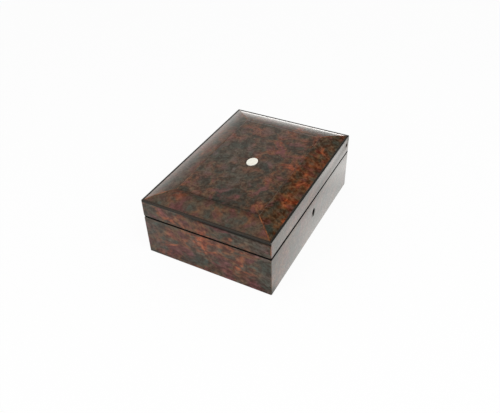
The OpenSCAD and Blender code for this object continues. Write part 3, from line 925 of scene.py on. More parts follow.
@dataclass(frozen=True)
class MotherOfPearl:
    """Polished mother-of-pearl: ivory, with clouds of faint green, grey and rose under a hard gloss."""

    name: str = "mother_of_pearl_polished"

    stops = ((0.32, "eeecdc"), (0.44, "fffbec"), (0.56, "fffef4"), (0.70, "fcefe2"))

    def paint(self) -> Material:
        """Builds the material. The clouds are 3 mm across, and the growth lines 0.7 mm apart.

        Returns:
            The material.
        """
        material, tree, shader = new_material(self.name)
        place = millimetres(tree, offset_mm=(3.0, 7.0, 0.0), turn_deg=(0, 0, 35), stretch=(1.0, 2.0, 1.0))
        sockets = {"Vector": place, "Scale": 1 / 3.0, "Detail": 4.0, "Distortion": 1.2}
        clouds = add(tree, "TexNoise", sockets)
        lines = add(tree, "TexNoise", {"Vector": place, "Scale": 1 / 0.7})
        sockets = {
            "Base Color": add(tree, "ValToRGB", {0: clouds}, self.stops),
            "Normal": add(tree, "Bump", {"Height": lines, "Strength": 0.15, "Distance": 0.02 * MM}),
            "Roughness": 0.25,
            "Coat Weight": 0.8,
            "Coat Roughness": 0.06,
        }
        plug(shader, sockets)
        return material


@dataclass(frozen=True)
class Metal:
    """A bare metal of small fittings, with tarnish in clouds and fine scratches.

    Attributes:
        name: the material's name.
        bright: its colour where it is rubbed.
        dull: its colour where it is tarnished.
        roughness: its roughness where it is rubbed.
    """

    name: str
    bright: str
    dull: str
    roughness: float

    def paint(self) -> Material:
        """Builds the material. Tarnish clouds are 4 mm across and scratches 0.3 mm apart.

        Returns:
            The material.
        """
        material, tree, shader = new_material(self.name)
        cloud = add(tree, "TexNoise", {"Vector": millimetres(tree), "Scale": 1 / 4.0, "Detail": 4.0})
        filed = millimetres(tree, turn_deg=(0, 0, 8), stretch=(0.15, 1.0, 1.0))
        scratches = add(tree, "TexNoise", {"Vector": filed, "Scale": 1 / 0.3})
        ends = {"From Min": 0.35, "From Max": 0.65, "To Min": self.roughness + 0.22, "To Max": self.roughness}
        sockets = {
            "Base Color": add(tree, "ValToRGB", {0: cloud}, ((0.38, self.dull), (0.62, self.bright))),
            "Roughness": add(tree, "MapRange", {"Value": cloud, **ends}),
            "Normal": add(tree, "Bump", {"Height": scratches, "Strength": 0.25, "Distance": 0.01 * MM}),
            "Metallic": 1.0,
        }
        plug(shader, sockets)
        return material


@dataclass(frozen=True)
class NappedCloth:
    """A cloth with a raised nap, such as silk velvet or wool baize.

    The pile catches light at its tips, so it is brighter at a low angle. Its colour is painted lighter
    and darker in tufts and in patches that strokes of the hand leave: painted sheen where the nap
    lies over, painted shade down in the pile.

    Attributes:
        name: the material's name.
        deep: its painted shade down in the pile.
        lit: its painted sheen where the nap lies over.
        pile_mm: the size of a tuft, drawn as coarse as it needs to show.
        sheen: how much the tips catch the light.
    """

    name: str
    deep: str
    lit: str
    pile_mm: float
    sheen: float

    def paint(self) -> Material:
        """Builds the material. Stroked patches are about 34 mm across.

        Returns:
            The material.
        """
        material, tree, shader = new_material(self.name)
        place = millimetres(tree)
        tufts = add(tree, "TexNoise", {"Vector": place, "Scale": 1 / self.pile_mm})
        stroked = add(tree, "TexNoise", {"Vector": place, "Scale": 1 / 34.0, "Detail": 3.0})
        # painted sheen and shade of the nap: each tuft and stroked patch lies between deep and lit
        both = {"Value": tufts * 1.6 + stroked, "From Min": 0.9, "From Max": 1.75}
        shades = {"Factor": add(tree, "MapRange", both), "A": self.deep, "B": self.lit}
        sockets = {
            "Base Color": add(tree, "Mix", shades, data_type="RGBA"),
            "Normal": add(tree, "Bump", {"Height": tufts, "Strength": 0.6, "Distance": 0.15 * MM}),
            "Roughness": 0.9,
            "Specular IOR Level": 0.2,
            "Sheen Weight": self.sheen,
            "Sheen Roughness": 0.4,
        }
        plug(shader, sockets)
        return material


# ---------------------------------------------------------------- the box's sizes


class Side(Enum):
    """A side of the box. Its value counts the quarter turns from the front, anticlockwise from above."""

    FRONT = 0
    RIGHT = 1
    BACK = 2
    LEFT = 3

    @property
    def label(self) -> str:
        """The side's name in node names."""
        return self.name.lower()

    def spans(self, half_length: float, half_width: float) -> tuple[float, float]:
        """Half of the box's size along this side, and half of its size across it."""
        return (half_width, half_length) if self in (Side.LEFT, Side.RIGHT) else (half_length, half_width)

    def turned(self, x: np.ndarray, y: np.ndarray) -> tuple[np.ndarray, np.ndarray]:
        """Turns places along the front round to this side."""
        c, s = ((1, 0), (0, 1), (-1, 0), (0, -1))[self.value]
        return c * x - s * y, s * x + c * y


@dataclass(frozen=True)
class MitredFrame:
    """A rectangle that strips run round, mitred at its corners, such as one ring of veneer.

    Attributes:
        half_length: half of its outside length, along X.
        half_width: half of its outside width, along Y.
        corner: the radius of its outside corners, seen from above.
    """

    half_length: float
    half_width: float
    corner: float

    def carry(self, profile: np.ndarray, side: Side, steps: int = 4) -> np.ndarray:
        """Carries a profile along one side, from mitre to mitre.

        A point at depth d behind the outside face runs along the side on a straight line, with an
        eighth of a circle of radius corner - d at each end. Deeper than the corner's radius it turns
        sharply.

        Args:
            profile: points as depth behind the outside face and height.
            side: the side.
            steps: the points along each corner's arc.

        Returns:
            Rings as places along the side, points round the profile, and x, y, z.
        """
        along, across = side.spans(self.half_length, self.half_width)
        depth, height = profile[:, 0], profile[:, 1]
        inset = np.maximum(depth, self.corner)
        radius = np.maximum(self.corner - depth, 0)
        first, second = (np.radians(np.linspace(start, start + 45, steps))[:, None] for start in (225, 270))
        x = np.concatenate([inset - along + radius * np.cos(first), along - inset + radius * np.cos(second)])
        y = inset - across + radius * np.sin(np.concatenate([first, second]))
        return np.stack([*side.turned(x, y), np.broadcast_to(height, x.shape)], axis=-1)


@dataclass(frozen=True)
class BoxSizes:
    """The box's main sizes, read from the CAD nodes."""

    half_length: float
    half_width: float
    veneer: float
    foot: float
    rim: float
    lid_foot: float
    edging_foot: float
    arris: float
    edging: float
    border: float
    crest: float
    hinge_y: float
    hinge_z: float
    knuckle: float

    @classmethod
    def from_frame(cls) -> "BoxSizes":
        """Reads the sizes from the nodes' boxes.

        Returns:
            The sizes.
        """
        veneer_lo, veneer_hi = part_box("base_front_veneer")
        lid_lo, lid_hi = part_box("lid_front_veneer")
        edging_lo, edging_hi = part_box("front_edging")
        border_lo, border_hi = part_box("crown_front_veneer")
        pin_lo, pin_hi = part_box("left_hinge_pin")
        _, leaf_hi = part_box("left_hinge_base_leaf")
        pin = (pin_lo + pin_hi) / 2
        return cls(
            half_length=veneer_hi.x,
            half_width=-veneer_lo.y,
            veneer=veneer_hi.y - veneer_lo.y,
            foot=veneer_lo.z,
            rim=veneer_hi.z,
            lid_foot=lid_lo.z,
            edging_foot=lid_hi.z,
            arris=edging_hi.z,
            edging=edging_hi.y - edging_lo.y,
            border=border_hi.y - border_lo.y,
            crest=border_hi.z,
            hinge_y=pin.y,
            hinge_z=pin.z,
            knuckle=leaf_hi.y - pin.y,
        )


# ---------------------------------------------------------------- sub-assemblies


@dataclass
class Veneers:
    """The veneered sides of base and lid. Base and lid share each side's leaf, as a sawn box does."""

    sizes: BoxSizes
    leaves: dict[Side, Material]
    corner: float = 1.3 * MM
    seam_ease: float = 0.75 * MM
    edge_ease: float = 0.15 * MM
    bevel_deg: float = 50.5
    pocket_gap: float = 0.3 * MM
    keyhole_radius: float = 2.9 * MM
    keyhole_slot: float = 3.9 * MM
    keyhole_drop: float = 9.8 * MM
    chip_from_end: float = 9.5 * MM
    chip_drop: float = 12.0 * MM
    chip_half_width: float = 1.5 * MM
    chip_half_height: float = 3.0 * MM

    def strip(self, name: str, side: Side, low: float, high: float, eases: Sequence[float]) -> Object:
        """Makes one side's veneer.

        Args:
            name: the piece's name.
            side: the side.
            low: the height of its foot.
            high: the height of its top.
            eases: the radii of its outer lower and upper arrises.

        Returns:
            The strip.
        """
        ring = MitredFrame(self.sizes.half_length, self.sizes.half_width, self.corner)
        corners = [(0, low), (0, high), (self.sizes.veneer, high), (self.sizes.veneer, low)]
        return swept(name, ring.carry(rounded(corners, [*eases, 0, 0]), side))

    def back_groove(self, upward: int) -> Object:
        """Makes the cutter for the bevel along the back, below the seam or above it.

        The bevel's face starts at the hinge's axis and falls away at bevel_deg.

        Args:
            upward: 1 for the lid's bevel, and -1 for the base's.

        Returns:
            The cutter.
        """
        s = self.sizes
        start = s.rim if upward < 0 else s.lid_foot
        past = start - upward * 2 * MM
        out, end = s.half_width + 2 * MM, s.half_length + 2 * MM
        fall = (out - s.hinge_y) * math.tan(math.radians(self.bevel_deg))
        outline = np.array([(s.hinge_y, past), (s.hinge_y, start), (out, start + upward * fall), (out, past)])
        return prism("groove", outline, "x", -end, end)

    def hinge_pocket(self, node: str) -> Object:
        """Makes the cutter for the pocket that a hinge's knuckles turn in: a cylinder on its axis.

        Args:
            node: the hinge's pin.

        Returns:
            The cutter.
        """
        low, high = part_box(node)
        angle = np.radians(np.arange(0, 360, 7.5))
        radius = self.sizes.knuckle + self.pocket_gap
        y, z = self.sizes.hinge_y + radius * np.cos(angle), self.sizes.hinge_z + radius * np.sin(angle)
        outline, gap = np.stack([y, z], axis=1), self.pocket_gap
        return prism("pocket", outline, "x", low.x - gap, high.x + gap)

    def through_front(self, name: str, outline: np.ndarray) -> Object:
        """Makes the cutter that takes an outline out of the front's veneer."""
        front = -self.sizes.half_width
        return prism(name, outline, "y", front - MM, front + 2 * self.sizes.veneer)

    def keyhole(self) -> Object:
        """Makes the keyhole's cutter: a slot that hangs from a round hole.

        Returns:
            The cutter.
        """
        low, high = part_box("lock_pin")
        x, z = (low.x + high.x) / 2, (low.z + high.z) / 2
        radius, half, foot = self.keyhole_radius, self.keyhole_slot / 2, z - self.keyhole_drop
        slot_turn = math.pi / 2 - math.asin(half / radius)
        angle = np.linspace(-slot_turn, math.pi + slot_turn, 40)
        arc = np.stack([x + radius * np.cos(angle), z + radius * np.sin(angle)], 1)
        return self.through_front("keyhole", np.concatenate([arc, [(x - half, foot), (x + half, foot)]]))

    def chip(self) -> Object:
        """Makes the cutter for a lost flake of veneer: an upright oval with a ragged edge.

        Its radius is that of a superellipse, times one plus three small waves round it.

        Returns:
            The cutter.
        """
        angle = np.linspace(0, 2 * math.pi, 48, endpoint=False)
        waves = ((0.05, 3, 0.7), (0.04, 7, 0.0), (0.03, 13, 2.0))
        ragged = 0.93 + sum(size * np.sin(count * angle + start) for size, count, start in waves)
        across, upright = (ragged * np.sign(v) * np.abs(v) ** 0.8 for v in (np.cos(angle), np.sin(angle)))
        x = self.sizes.half_length - self.chip_from_end + self.chip_half_width * across
        z = self.sizes.arris - self.chip_drop + self.chip_half_height * upright
        return self.through_front("chip", np.stack([x, z], axis=1))

    def build(self) -> None:
        """Makes the eight veneers and cuts the keyhole, the chip, the back bevels and the pockets."""
        s = self.sizes
        halves = (
            (Body.BASE, s.foot, s.rim, (self.edge_ease, self.seam_ease), -1, self.keyhole),
            (Body.LID, s.lid_foot, s.edging_foot, (self.seam_ease, 0), 1, self.chip),
        )
        for side in Side:
            for body, low, high, eases, upward, front_cutter in halves:
                node = f"{body}_{side.label}_veneer"
                veneer = self.strip(f"{node}.polished", side, low, high, eases)
                cut(veneer, front_cutter() if side is Side.FRONT else self.back_groove(upward))
                for hinge in ("left", "right") if side is Side.BACK else ():
                    cut(veneer, self.hinge_pocket(f"{hinge}_hinge_pin"))
                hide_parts(node)
                dress(veneer, self.leaves[side], body)


@dataclass
class CushionTop:
    """The cushion of five leaves on the lid, the ebonised edging round it and the pearl oval."""

    sizes: BoxSizes
    leaves: dict[Side, Material]
    centre_leaf: Material
    ebony: dict[Side, Material]
    pearl: Material
    half_turn_deg: float = 8.5
    hip_blend: float = 1.4 * MM
    crest_blend: float = 0.25 * MM
    joint_width: float = 0.18 * MM
    joint_depth: float = 0.10 * MM
    corner: float = 1.3 * MM
    arris_radius: float = 0.8 * MM
    dome: float = 0.08 * MM
    border_points: tuple[int, int] = (36, 90)
    centre_rays: int = 24
    centre_rings: int = 30

    @staticmethod
    def soft_least(a: np.ndarray, b: np.ndarray, blend: float) -> np.ndarray:
        """The lesser of two values, with the crossing rounded off over blend.

        It is a h + b (1 - h) - blend h (1 - h), where h rises from 0 to 1 as b - a goes from -blend
        to blend.
        """
        h = np.clip(0.5 + 0.5 * (b - a) / blend, 0, 1)
        return a * h + b * (1 - h) - blend * h * (1 - h)

    def height(self, x: np.ndarray, y: np.ndarray) -> np.ndarray:
        """The cushion's height over a point.

        It rises from the edging on an arc of a circle to the crest, and is flat inside it. The arc
        joins the edging and the crest, and turns through twice half_turn_deg.

        Args:
            x: places along the box.
            y: places across it.

        Returns:
            The heights.
        """
        s = self.sizes
        rise = s.crest - s.arris
        pitch = math.atan2(rise, s.border)
        half_turn = math.radians(self.half_turn_deg)
        radius = math.hypot(rise, s.border) / (2 * math.sin(half_turn))
        centre_d = s.border / 2 + radius * math.cos(half_turn) * math.sin(pitch)
        centre_z = rise / 2 - radius * math.cos(half_turn) * math.cos(pitch)
        from_side = s.half_width - s.edging - np.abs(y)
        from_end = s.half_length - s.edging - np.abs(x)
        depth = np.minimum(self.soft_least(from_side, from_end, self.hip_blend), centre_d)
        arc = centre_z + np.sqrt(radius**2 - (depth - centre_d) ** 2)
        return s.arris + self.soft_least(arc, np.full_like(arc, rise), self.crest_blend)

    def spread(self, count: int, width: float, ease: float = 0.0) -> np.ndarray:
        """Places from 0 to 1 with a close pair at each end, for the joint's fall.

        Args:
            count: how many places lie between the pairs.
            width: the real width that 0 to 1 spans.
            ease: more than 0 draws the places towards both ends.

        Returns:
            The places.
        """
        edge = self.joint_width / width
        t = np.linspace(0, 1, count)
        eased = (1 - ease) * t + ease * (1 - np.cos(math.pi * t)) / 2
        return np.concatenate([[0.0], edge + (1 - 2 * edge) * eased, [1.0]])

    def leaf(self, node: str, x: np.ndarray, y: np.ndarray, ring: bool = False) -> Object:
        """Makes one leaf over a grid of places. Its edges fall by joint_depth into the joints.

        Args:
            node: the CAD node that it stands for.
            x: the grid's places along the box.
            y: the grid's places across it.
            ring: whether the grid's last column meets its first.

        Returns:
            The leaf.
        """
        level = self.height(x, y)
        top = level.copy()
        top[[0, -1], :] -= self.joint_depth
        if not ring:
            top[1:-1, [0, -1]] -= self.joint_depth
        faces = (np.stack([x, y, z], axis=-1) for z in (top, level - self.sizes.veneer))
        return shell(f"{node}.polished", *faces, ring)

    def border_leaf(self, side: Side, node: str) -> Object:
        """Makes a border leaf.

        At depth d from the edging it runs along the side to both hips, which lie at d from the ends.

        Args:
            side: the side that it lies along.
            node: the CAD node that it stands for.

        Returns:
            The leaf.
        """
        s = self.sizes
        half_run, out = side.spans(s.half_length - s.edging, s.half_width - s.edging)
        deep, long = self.border_points
        depth = self.spread(deep, s.border)[:, None] * s.border
        along = (self.spread(long, 2 * half_run, 0.5)[None, :] * 2 - 1) * (half_run - depth)
        return self.leaf(node, *side.turned(along, np.broadcast_to(depth - out, along.shape)))

    def centre(self, node: str) -> Object:
        """Makes the centre leaf round the oval's hole.

        A ray at each angle runs from the ellipse to the rectangle, and the leaf's points lie on it.
        Every corner of the rectangle has a ray of its own.

        Args:
            node: the CAD node that it stands for.

        Returns:
            The leaf.
        """
        s = self.sizes
        low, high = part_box("pearl_oval")
        hole = np.array([(high.x - low.x) / 2, (high.y - low.y) / 2]) + self.joint_width / 2
        half = np.array([s.half_length, s.half_width]) - s.edging - s.border
        corner = math.atan2(half[1], half[0])
        spans = ((-corner, corner), (corner, math.pi - corner))
        quarter = np.concatenate([np.linspace(*span, self.centre_rays, endpoint=False) for span in spans])
        angle = np.concatenate([quarter, quarter + math.pi])
        angle = np.append(angle, angle[0] + 2 * math.pi)
        ray = np.stack([np.cos(angle), np.sin(angle)], axis=-1)
        inner = ray / np.linalg.norm(ray / hole, axis=1, keepdims=True)
        outer = ray / np.max(np.abs(ray) / half, axis=1, keepdims=True)
        share = self.spread(self.centre_rings, float(half.min()), 0.4)[:, None, None]
        place = inner[None] * (1 - share) + outer[None] * share
        return self.leaf(node, place[..., 0], place[..., 1], ring=True)

    def oval(self) -> Object:
        """Makes the pearl oval: rings of an ellipse, which fall by dome times the share out to the sixth.

        Returns:
            The oval.
        """
        low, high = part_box("pearl_oval")
        half = (high - low) / 2
        share = np.array([0.0, 0.2, 0.4, 0.6, 0.78, 0.9, 0.96, 0.99, 1.0])[:, None]
        angle = np.linspace(0, 2 * math.pi, 97)[None, :]
        x = (half.x - self.joint_width / 2) * share * np.cos(angle)
        y = (half.y - self.joint_width / 2) * share * np.sin(angle)
        fall = self.dome * np.broadcast_to(share, x.shape) ** 6
        faces = (np.stack([x, y, z], axis=-1) for z in (high.z - fall, np.full_like(x, low.z)))
        return shell("pearl_oval.polished", *faces, ring=True)

    def edging_strip(self, side: Side) -> Object:
        """Makes one edging strip: a square strip with a rounded outer arris, mitred at its ends.

        Args:
            side: the side.

        Returns:
            The strip.
        """
        s = self.sizes
        corners = [(0, s.edging_foot), (0, s.arris), (s.edging, s.arris), (s.edging, s.edging_foot)]
        outline = rounded(corners, [0.05 * MM, self.arris_radius, 0.1 * MM, 0], 7)
        ring = MitredFrame(s.half_length, s.half_width, self.corner)
        return swept(f"{side.label}_edging.polished", ring.carry(outline, side, 6))

    def build(self) -> None:
        """Makes the four borders and edgings, the centre leaf and the oval."""
        for side in Side:
            node = f"crown_{side.label}_veneer"
            border = self.border_leaf(side, node)
            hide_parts(node)
            dress(border, self.leaves[side], Body.LID)
            edging = self.edging_strip(side)
            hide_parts(f"{side.label}_edging")
            dress(edging, self.ebony[side], Body.LID)
        centre = self.centre("crown_centre_veneer")
        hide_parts("crown_centre_veneer")
        dress(centre, self.centre_leaf, Body.LID)
        oval = self.oval()
        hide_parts("pearl_oval")
        dress(oval, self.pearl, Body.LID)


@dataclass
class Carcass:
    """The boards under the veneer, the facings on both rims, the brads and the baize below."""

    along_x: Material
    along_y: Material
    ebony: Material
    steel: Material
    baize: Material

    def build(self) -> None:
        """Dresses the boards where they are, eases the facings and makes the baize."""
        for body in (Body.BASE, Body.LID):
            for side in Side:
                along = self.along_x if side in (Side.FRONT, Side.BACK) else self.along_y
                dress_nodes(along, f"{body}_{side.label}_board")
        dress_nodes(self.along_x, "bottom_board", "lid_top_board")
        dress_nodes(self.steel, "bottom_brads")
        for body in (Body.BASE, Body.LID):
            dress(eased_copy(f"{body}_rim_facings", 0.12 * MM), self.ebony, body)
        low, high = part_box("base_baize")
        sheet = cloth_panel("base_baize.cloth", low, high, 0.3 * MM)
        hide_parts("base_baize")
        dress(sheet, self.baize, Body.BASE)


def dress_nodes(material: Material, *nodes: str) -> None:
    """Gives CAD nodes that keep their shapes their material.

    Args:
        material: the material.
        *nodes: the nodes.
    """
    for node in nodes:
        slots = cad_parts[node].data.materials
        slots.clear()
        slots.append(material)
        LOG.info("%s: dressed as the CAD made it", node)


def cloth_panel(name: str, low: Vector, high: Vector, roll: float) -> Object:
    """Makes a flat panel of cloth whose edges roll over.

    Its outline is the box's, and its section is a rectangle with all four corners rounded by roll.

    Args:
        name: the piece's name.
        low: the lowest corner.
        high: the highest corner.
        roll: the radius of the rolled edges.

    Returns:
        The object.
    """
    angle = np.linspace(0, math.pi / 2, 6)
    inward = roll * (1 - np.sin(angle))
    in_x, in_y = (np.concatenate([low[i] + inward[::-1], high[i] - inward]) for i in (0, 1))
    fall = roll * (1 - np.cos(angle))
    fall = np.concatenate([fall[::-1], fall])
    drop = np.maximum(fall[:, None], fall[None, :])
    x, y = np.meshgrid(in_x, in_y, indexing="ij")
    middle, half = (low.z + high.z) / 2, (high.z - low.z) / 2
    half = half - np.minimum(drop, half - 0.02 * MM)
    return shell(name, *(np.stack([x, y, z], axis=-1) for z in (middle + half, middle - half)))


@dataclass
class Linings:
    """The velvet inside: the floor, four walls, the lid's walls and the pad in the lid.

    The pad's velvet starts at pad_rim of its depth along its edge, and reaches all of it pad_roll
    further in. Filling it takes pad_frames frames, in which the cloth may grow by pad_growth.
    """

    velvet: Material
    lid_wall: float = 1.0 * MM
    notch_gap: float = 0.3 * MM
    pad_spare: float = 0.25 * MM
    pad_roll: float = 5 * MM
    pad_swell: float = 1.2 * MM
    pad_points: tuple[int, int] = (75, 53)
    pad_rim: float = 0.2
    pad_frames: int = 20
    pad_pressure: float = 4.0
    pad_growth: float = 0.015
    pad_weight: float = 0.2

    def wall(self, name: str, side: Side, node: str) -> Object:
        """Makes a wall's panel of velvet over card, with rolled edges, against the node's wall.

        Args:
            name: the piece's name.
            side: the side.
            node: the CAD node whose height and thickness it takes.

        Returns:
            The panel.
        """
        _, floor_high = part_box("floor_lining")
        low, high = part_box(node)
        thick = min(high.x - low.x, high.y - low.y) if node != "lid_wall_linings" else self.lid_wall
        corners = [(0, low.z), (0, high.z), (thick, high.z), (thick, low.z)]
        outline = rounded(corners, [0.42 * thick] * 4)
        return swept(name, MitredFrame(floor_high.x, floor_high.y, 0.0).carry(outline, side, 2))

    def lock_notch(self) -> Object:
        """Makes the cutter that clears the front panel from the lock's plate.

        Returns:
            The cutter.
        """
        low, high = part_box("lock_plate")
        left, right, foot = low.x - self.notch_gap, high.x + self.notch_gap, low.z - self.notch_gap
        top = high.z + MM
        outline = np.array([(left, foot), (right, foot), (right, top), (left, top)])
        return prism("notch", outline, "y", high.y - MM, high.y + 3 * MM)

    def pad(self) -> Object:
        """Makes the lid's pad: velvet over wadding on a card, which lies against the lid's top board.

        The card is a flat grid of points, closer towards its rim. The velvet's grid starts below it,
        thinner than it ends up: its depth rises from the rim as a quarter of an ellipse. A cloth
        simulation then fills it.

        Returns:
            The pad.
        """
        low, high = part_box("lid_pad")
        middle, half = (low + high) / 2, (high - low) / 2
        half_x, half_y = half.x - self.pad_spare, half.y - self.pad_spare
        turn = 0.45 * math.pi
        steps = (np.linspace(-turn, turn, count) for count in self.pad_points)
        rows, columns = (np.sin(step) / math.sin(turn) for step in steps)
        x, y = np.meshgrid(half_x * rows, half_y * columns, indexing="ij")
        share = np.clip(np.minimum(half_x - np.abs(x), half_y - np.abs(y)) / self.pad_roll, 0, 1)
        filled = self.pad_rim + (1 - self.pad_rim) * np.sqrt(1 - (1 - share) ** 2)
        depth = (high.z - low.z - self.pad_swell) * filled
        levels = (np.full_like(x, high.z), high.z - depth)
        pad = shell("lid_pad.velvet", *(np.stack([x + middle.x, y + middle.y, z], axis=-1) for z in levels))
        self.swell(pad, high.z, low.z)
        subdivision = pad.modifiers.new("smooth", "SUBSURF")
        subdivision.levels = subdivision.render_levels = 1
        return pad

    def swell(self, pad: Object, card_z: float, lowest_z: float) -> None:
        """Fills a pad by a cloth simulation: air pressure inside it, no gravity, and the card held.

        A point may move by pad_swell at the most, and never below the pad's space.

        Args:
            pad: the closed pad. Its simulated shape is applied to its mesh.
            card_z: the height of the card, whose points are held.
            lowest_z: the lowest height that the velvet may reach.
        """
        scene = bpy.context.scene
        mesh = pad.data
        start = np.empty(len(mesh.vertices) * 3)
        mesh.vertices.foreach_get("co", start)
        start = start.reshape(-1, 3)
        card = pad.vertex_groups.new(name="card")
        card.add(np.flatnonzero(start[:, 2] > card_z - 0.2 * MM).tolist(), 1.0, "REPLACE")
        cloth = pad.modifiers.new("wadding", "CLOTH")
        cloth.settings.quality = 6
        cloth.settings.mass = self.pad_weight
        cloth.settings.vertex_group_mass = "card"
        cloth.settings.use_pressure = True
        cloth.settings.uniform_pressure_force = self.pad_pressure
        cloth.settings.shrink_min = -self.pad_growth
        cloth.settings.effector_weights.gravity = 0.0
        for step in range(1, self.pad_frames + 1):
            scene.frame_set(step)
        swollen = pad.evaluated_get(bpy.context.evaluated_depsgraph_get()).to_mesh()
        end = np.empty_like(start).ravel()
        swollen.vertices.foreach_get("co", end)
        move = end.reshape(-1, 3) - start
        length = np.maximum(np.linalg.norm(move, axis=1, keepdims=True), 1e-9)
        move *= self.pad_swell * np.tanh(length / self.pad_swell) / length
        end = start + move
        end[:, 2] = np.clip(end[:, 2], lowest_z + 0.02 * MM, card_z)
        pad.modifiers.remove(cloth)
        pad.vertex_groups.remove(card)
        scene.frame_set(1)
        mesh.vertices.foreach_set("co", end.ravel())
        mesh.update()
        LOG.info("%s: swollen by %.2f mm at the most", pad.name, np.linalg.norm(move, axis=1).max() / MM)

    def build(self) -> None:
        """Makes all the linings."""
        low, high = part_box("floor_lining")
        floor = cloth_panel("floor_lining.velvet", low, high, 0.6 * MM)
        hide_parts("floor_lining")
        dress(floor, self.velvet, Body.BASE)
        for side in Side:
            walls = (("", f"{side.label}_lining", Body.BASE), ("lid_", "lid_wall_linings", Body.LID))
            for prefix, node, body in walls:
                panel = self.wall(f"{prefix}{side.label}_lining.velvet", side, node)
                if node == "front_lining":
                    cut(panel, self.lock_notch())
                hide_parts(node)
                low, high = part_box(node)
                dress(panel, self.velvet, body)
        pad = self.pad()
        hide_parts("lid_pad")
        dress(pad, self.velvet, Body.LID)


@dataclass
class Hardware:
    """The lock, its link plate, the two hinges and all their screws."""

    brass: Material
    screw_brass: Material
    steel: Material
    ease: float = 0.15 * MM

    def build(self) -> None:
        """Eases the fittings' arrises and dresses them in brass or steel."""
        for side in ("left", "right"):
            dress(eased_copy(f"{side}_hinge_base_leaf", self.ease), self.brass, Body.BASE)
            dress(eased_copy(f"{side}_hinge_lid_leaf", self.ease), self.brass, Body.LID)
            dress(eased_copy(f"{side}_hinge_pin", self.ease), self.steel, Body.BASE)
        dress(eased_copy("lock_plate", self.ease), self.brass, Body.BASE)
        dress(eased_copy("link_plate", self.ease), self.brass, Body.LID)
        for body, nodes in {
            Body.BASE: ("hinge_base_screws", "lock_screws"),
            Body.LID: ("hinge_lid_screws", "link_plate_screws"),
        }.items():
            for node in nodes:
                dress(eased_copy(node, 0.06 * MM, 1), self.screw_brass, body)
        dress(eased_copy("lock_bolt", 0.1 * MM), self.steel, Body.BOLT)
        dress_nodes(self.brass, "lock_case", "lock_rivets", "lock_ward")
        dress_nodes(self.steel, "lock_pin", "bolt_spring")


# ---------------------------------------------------------------- the studio


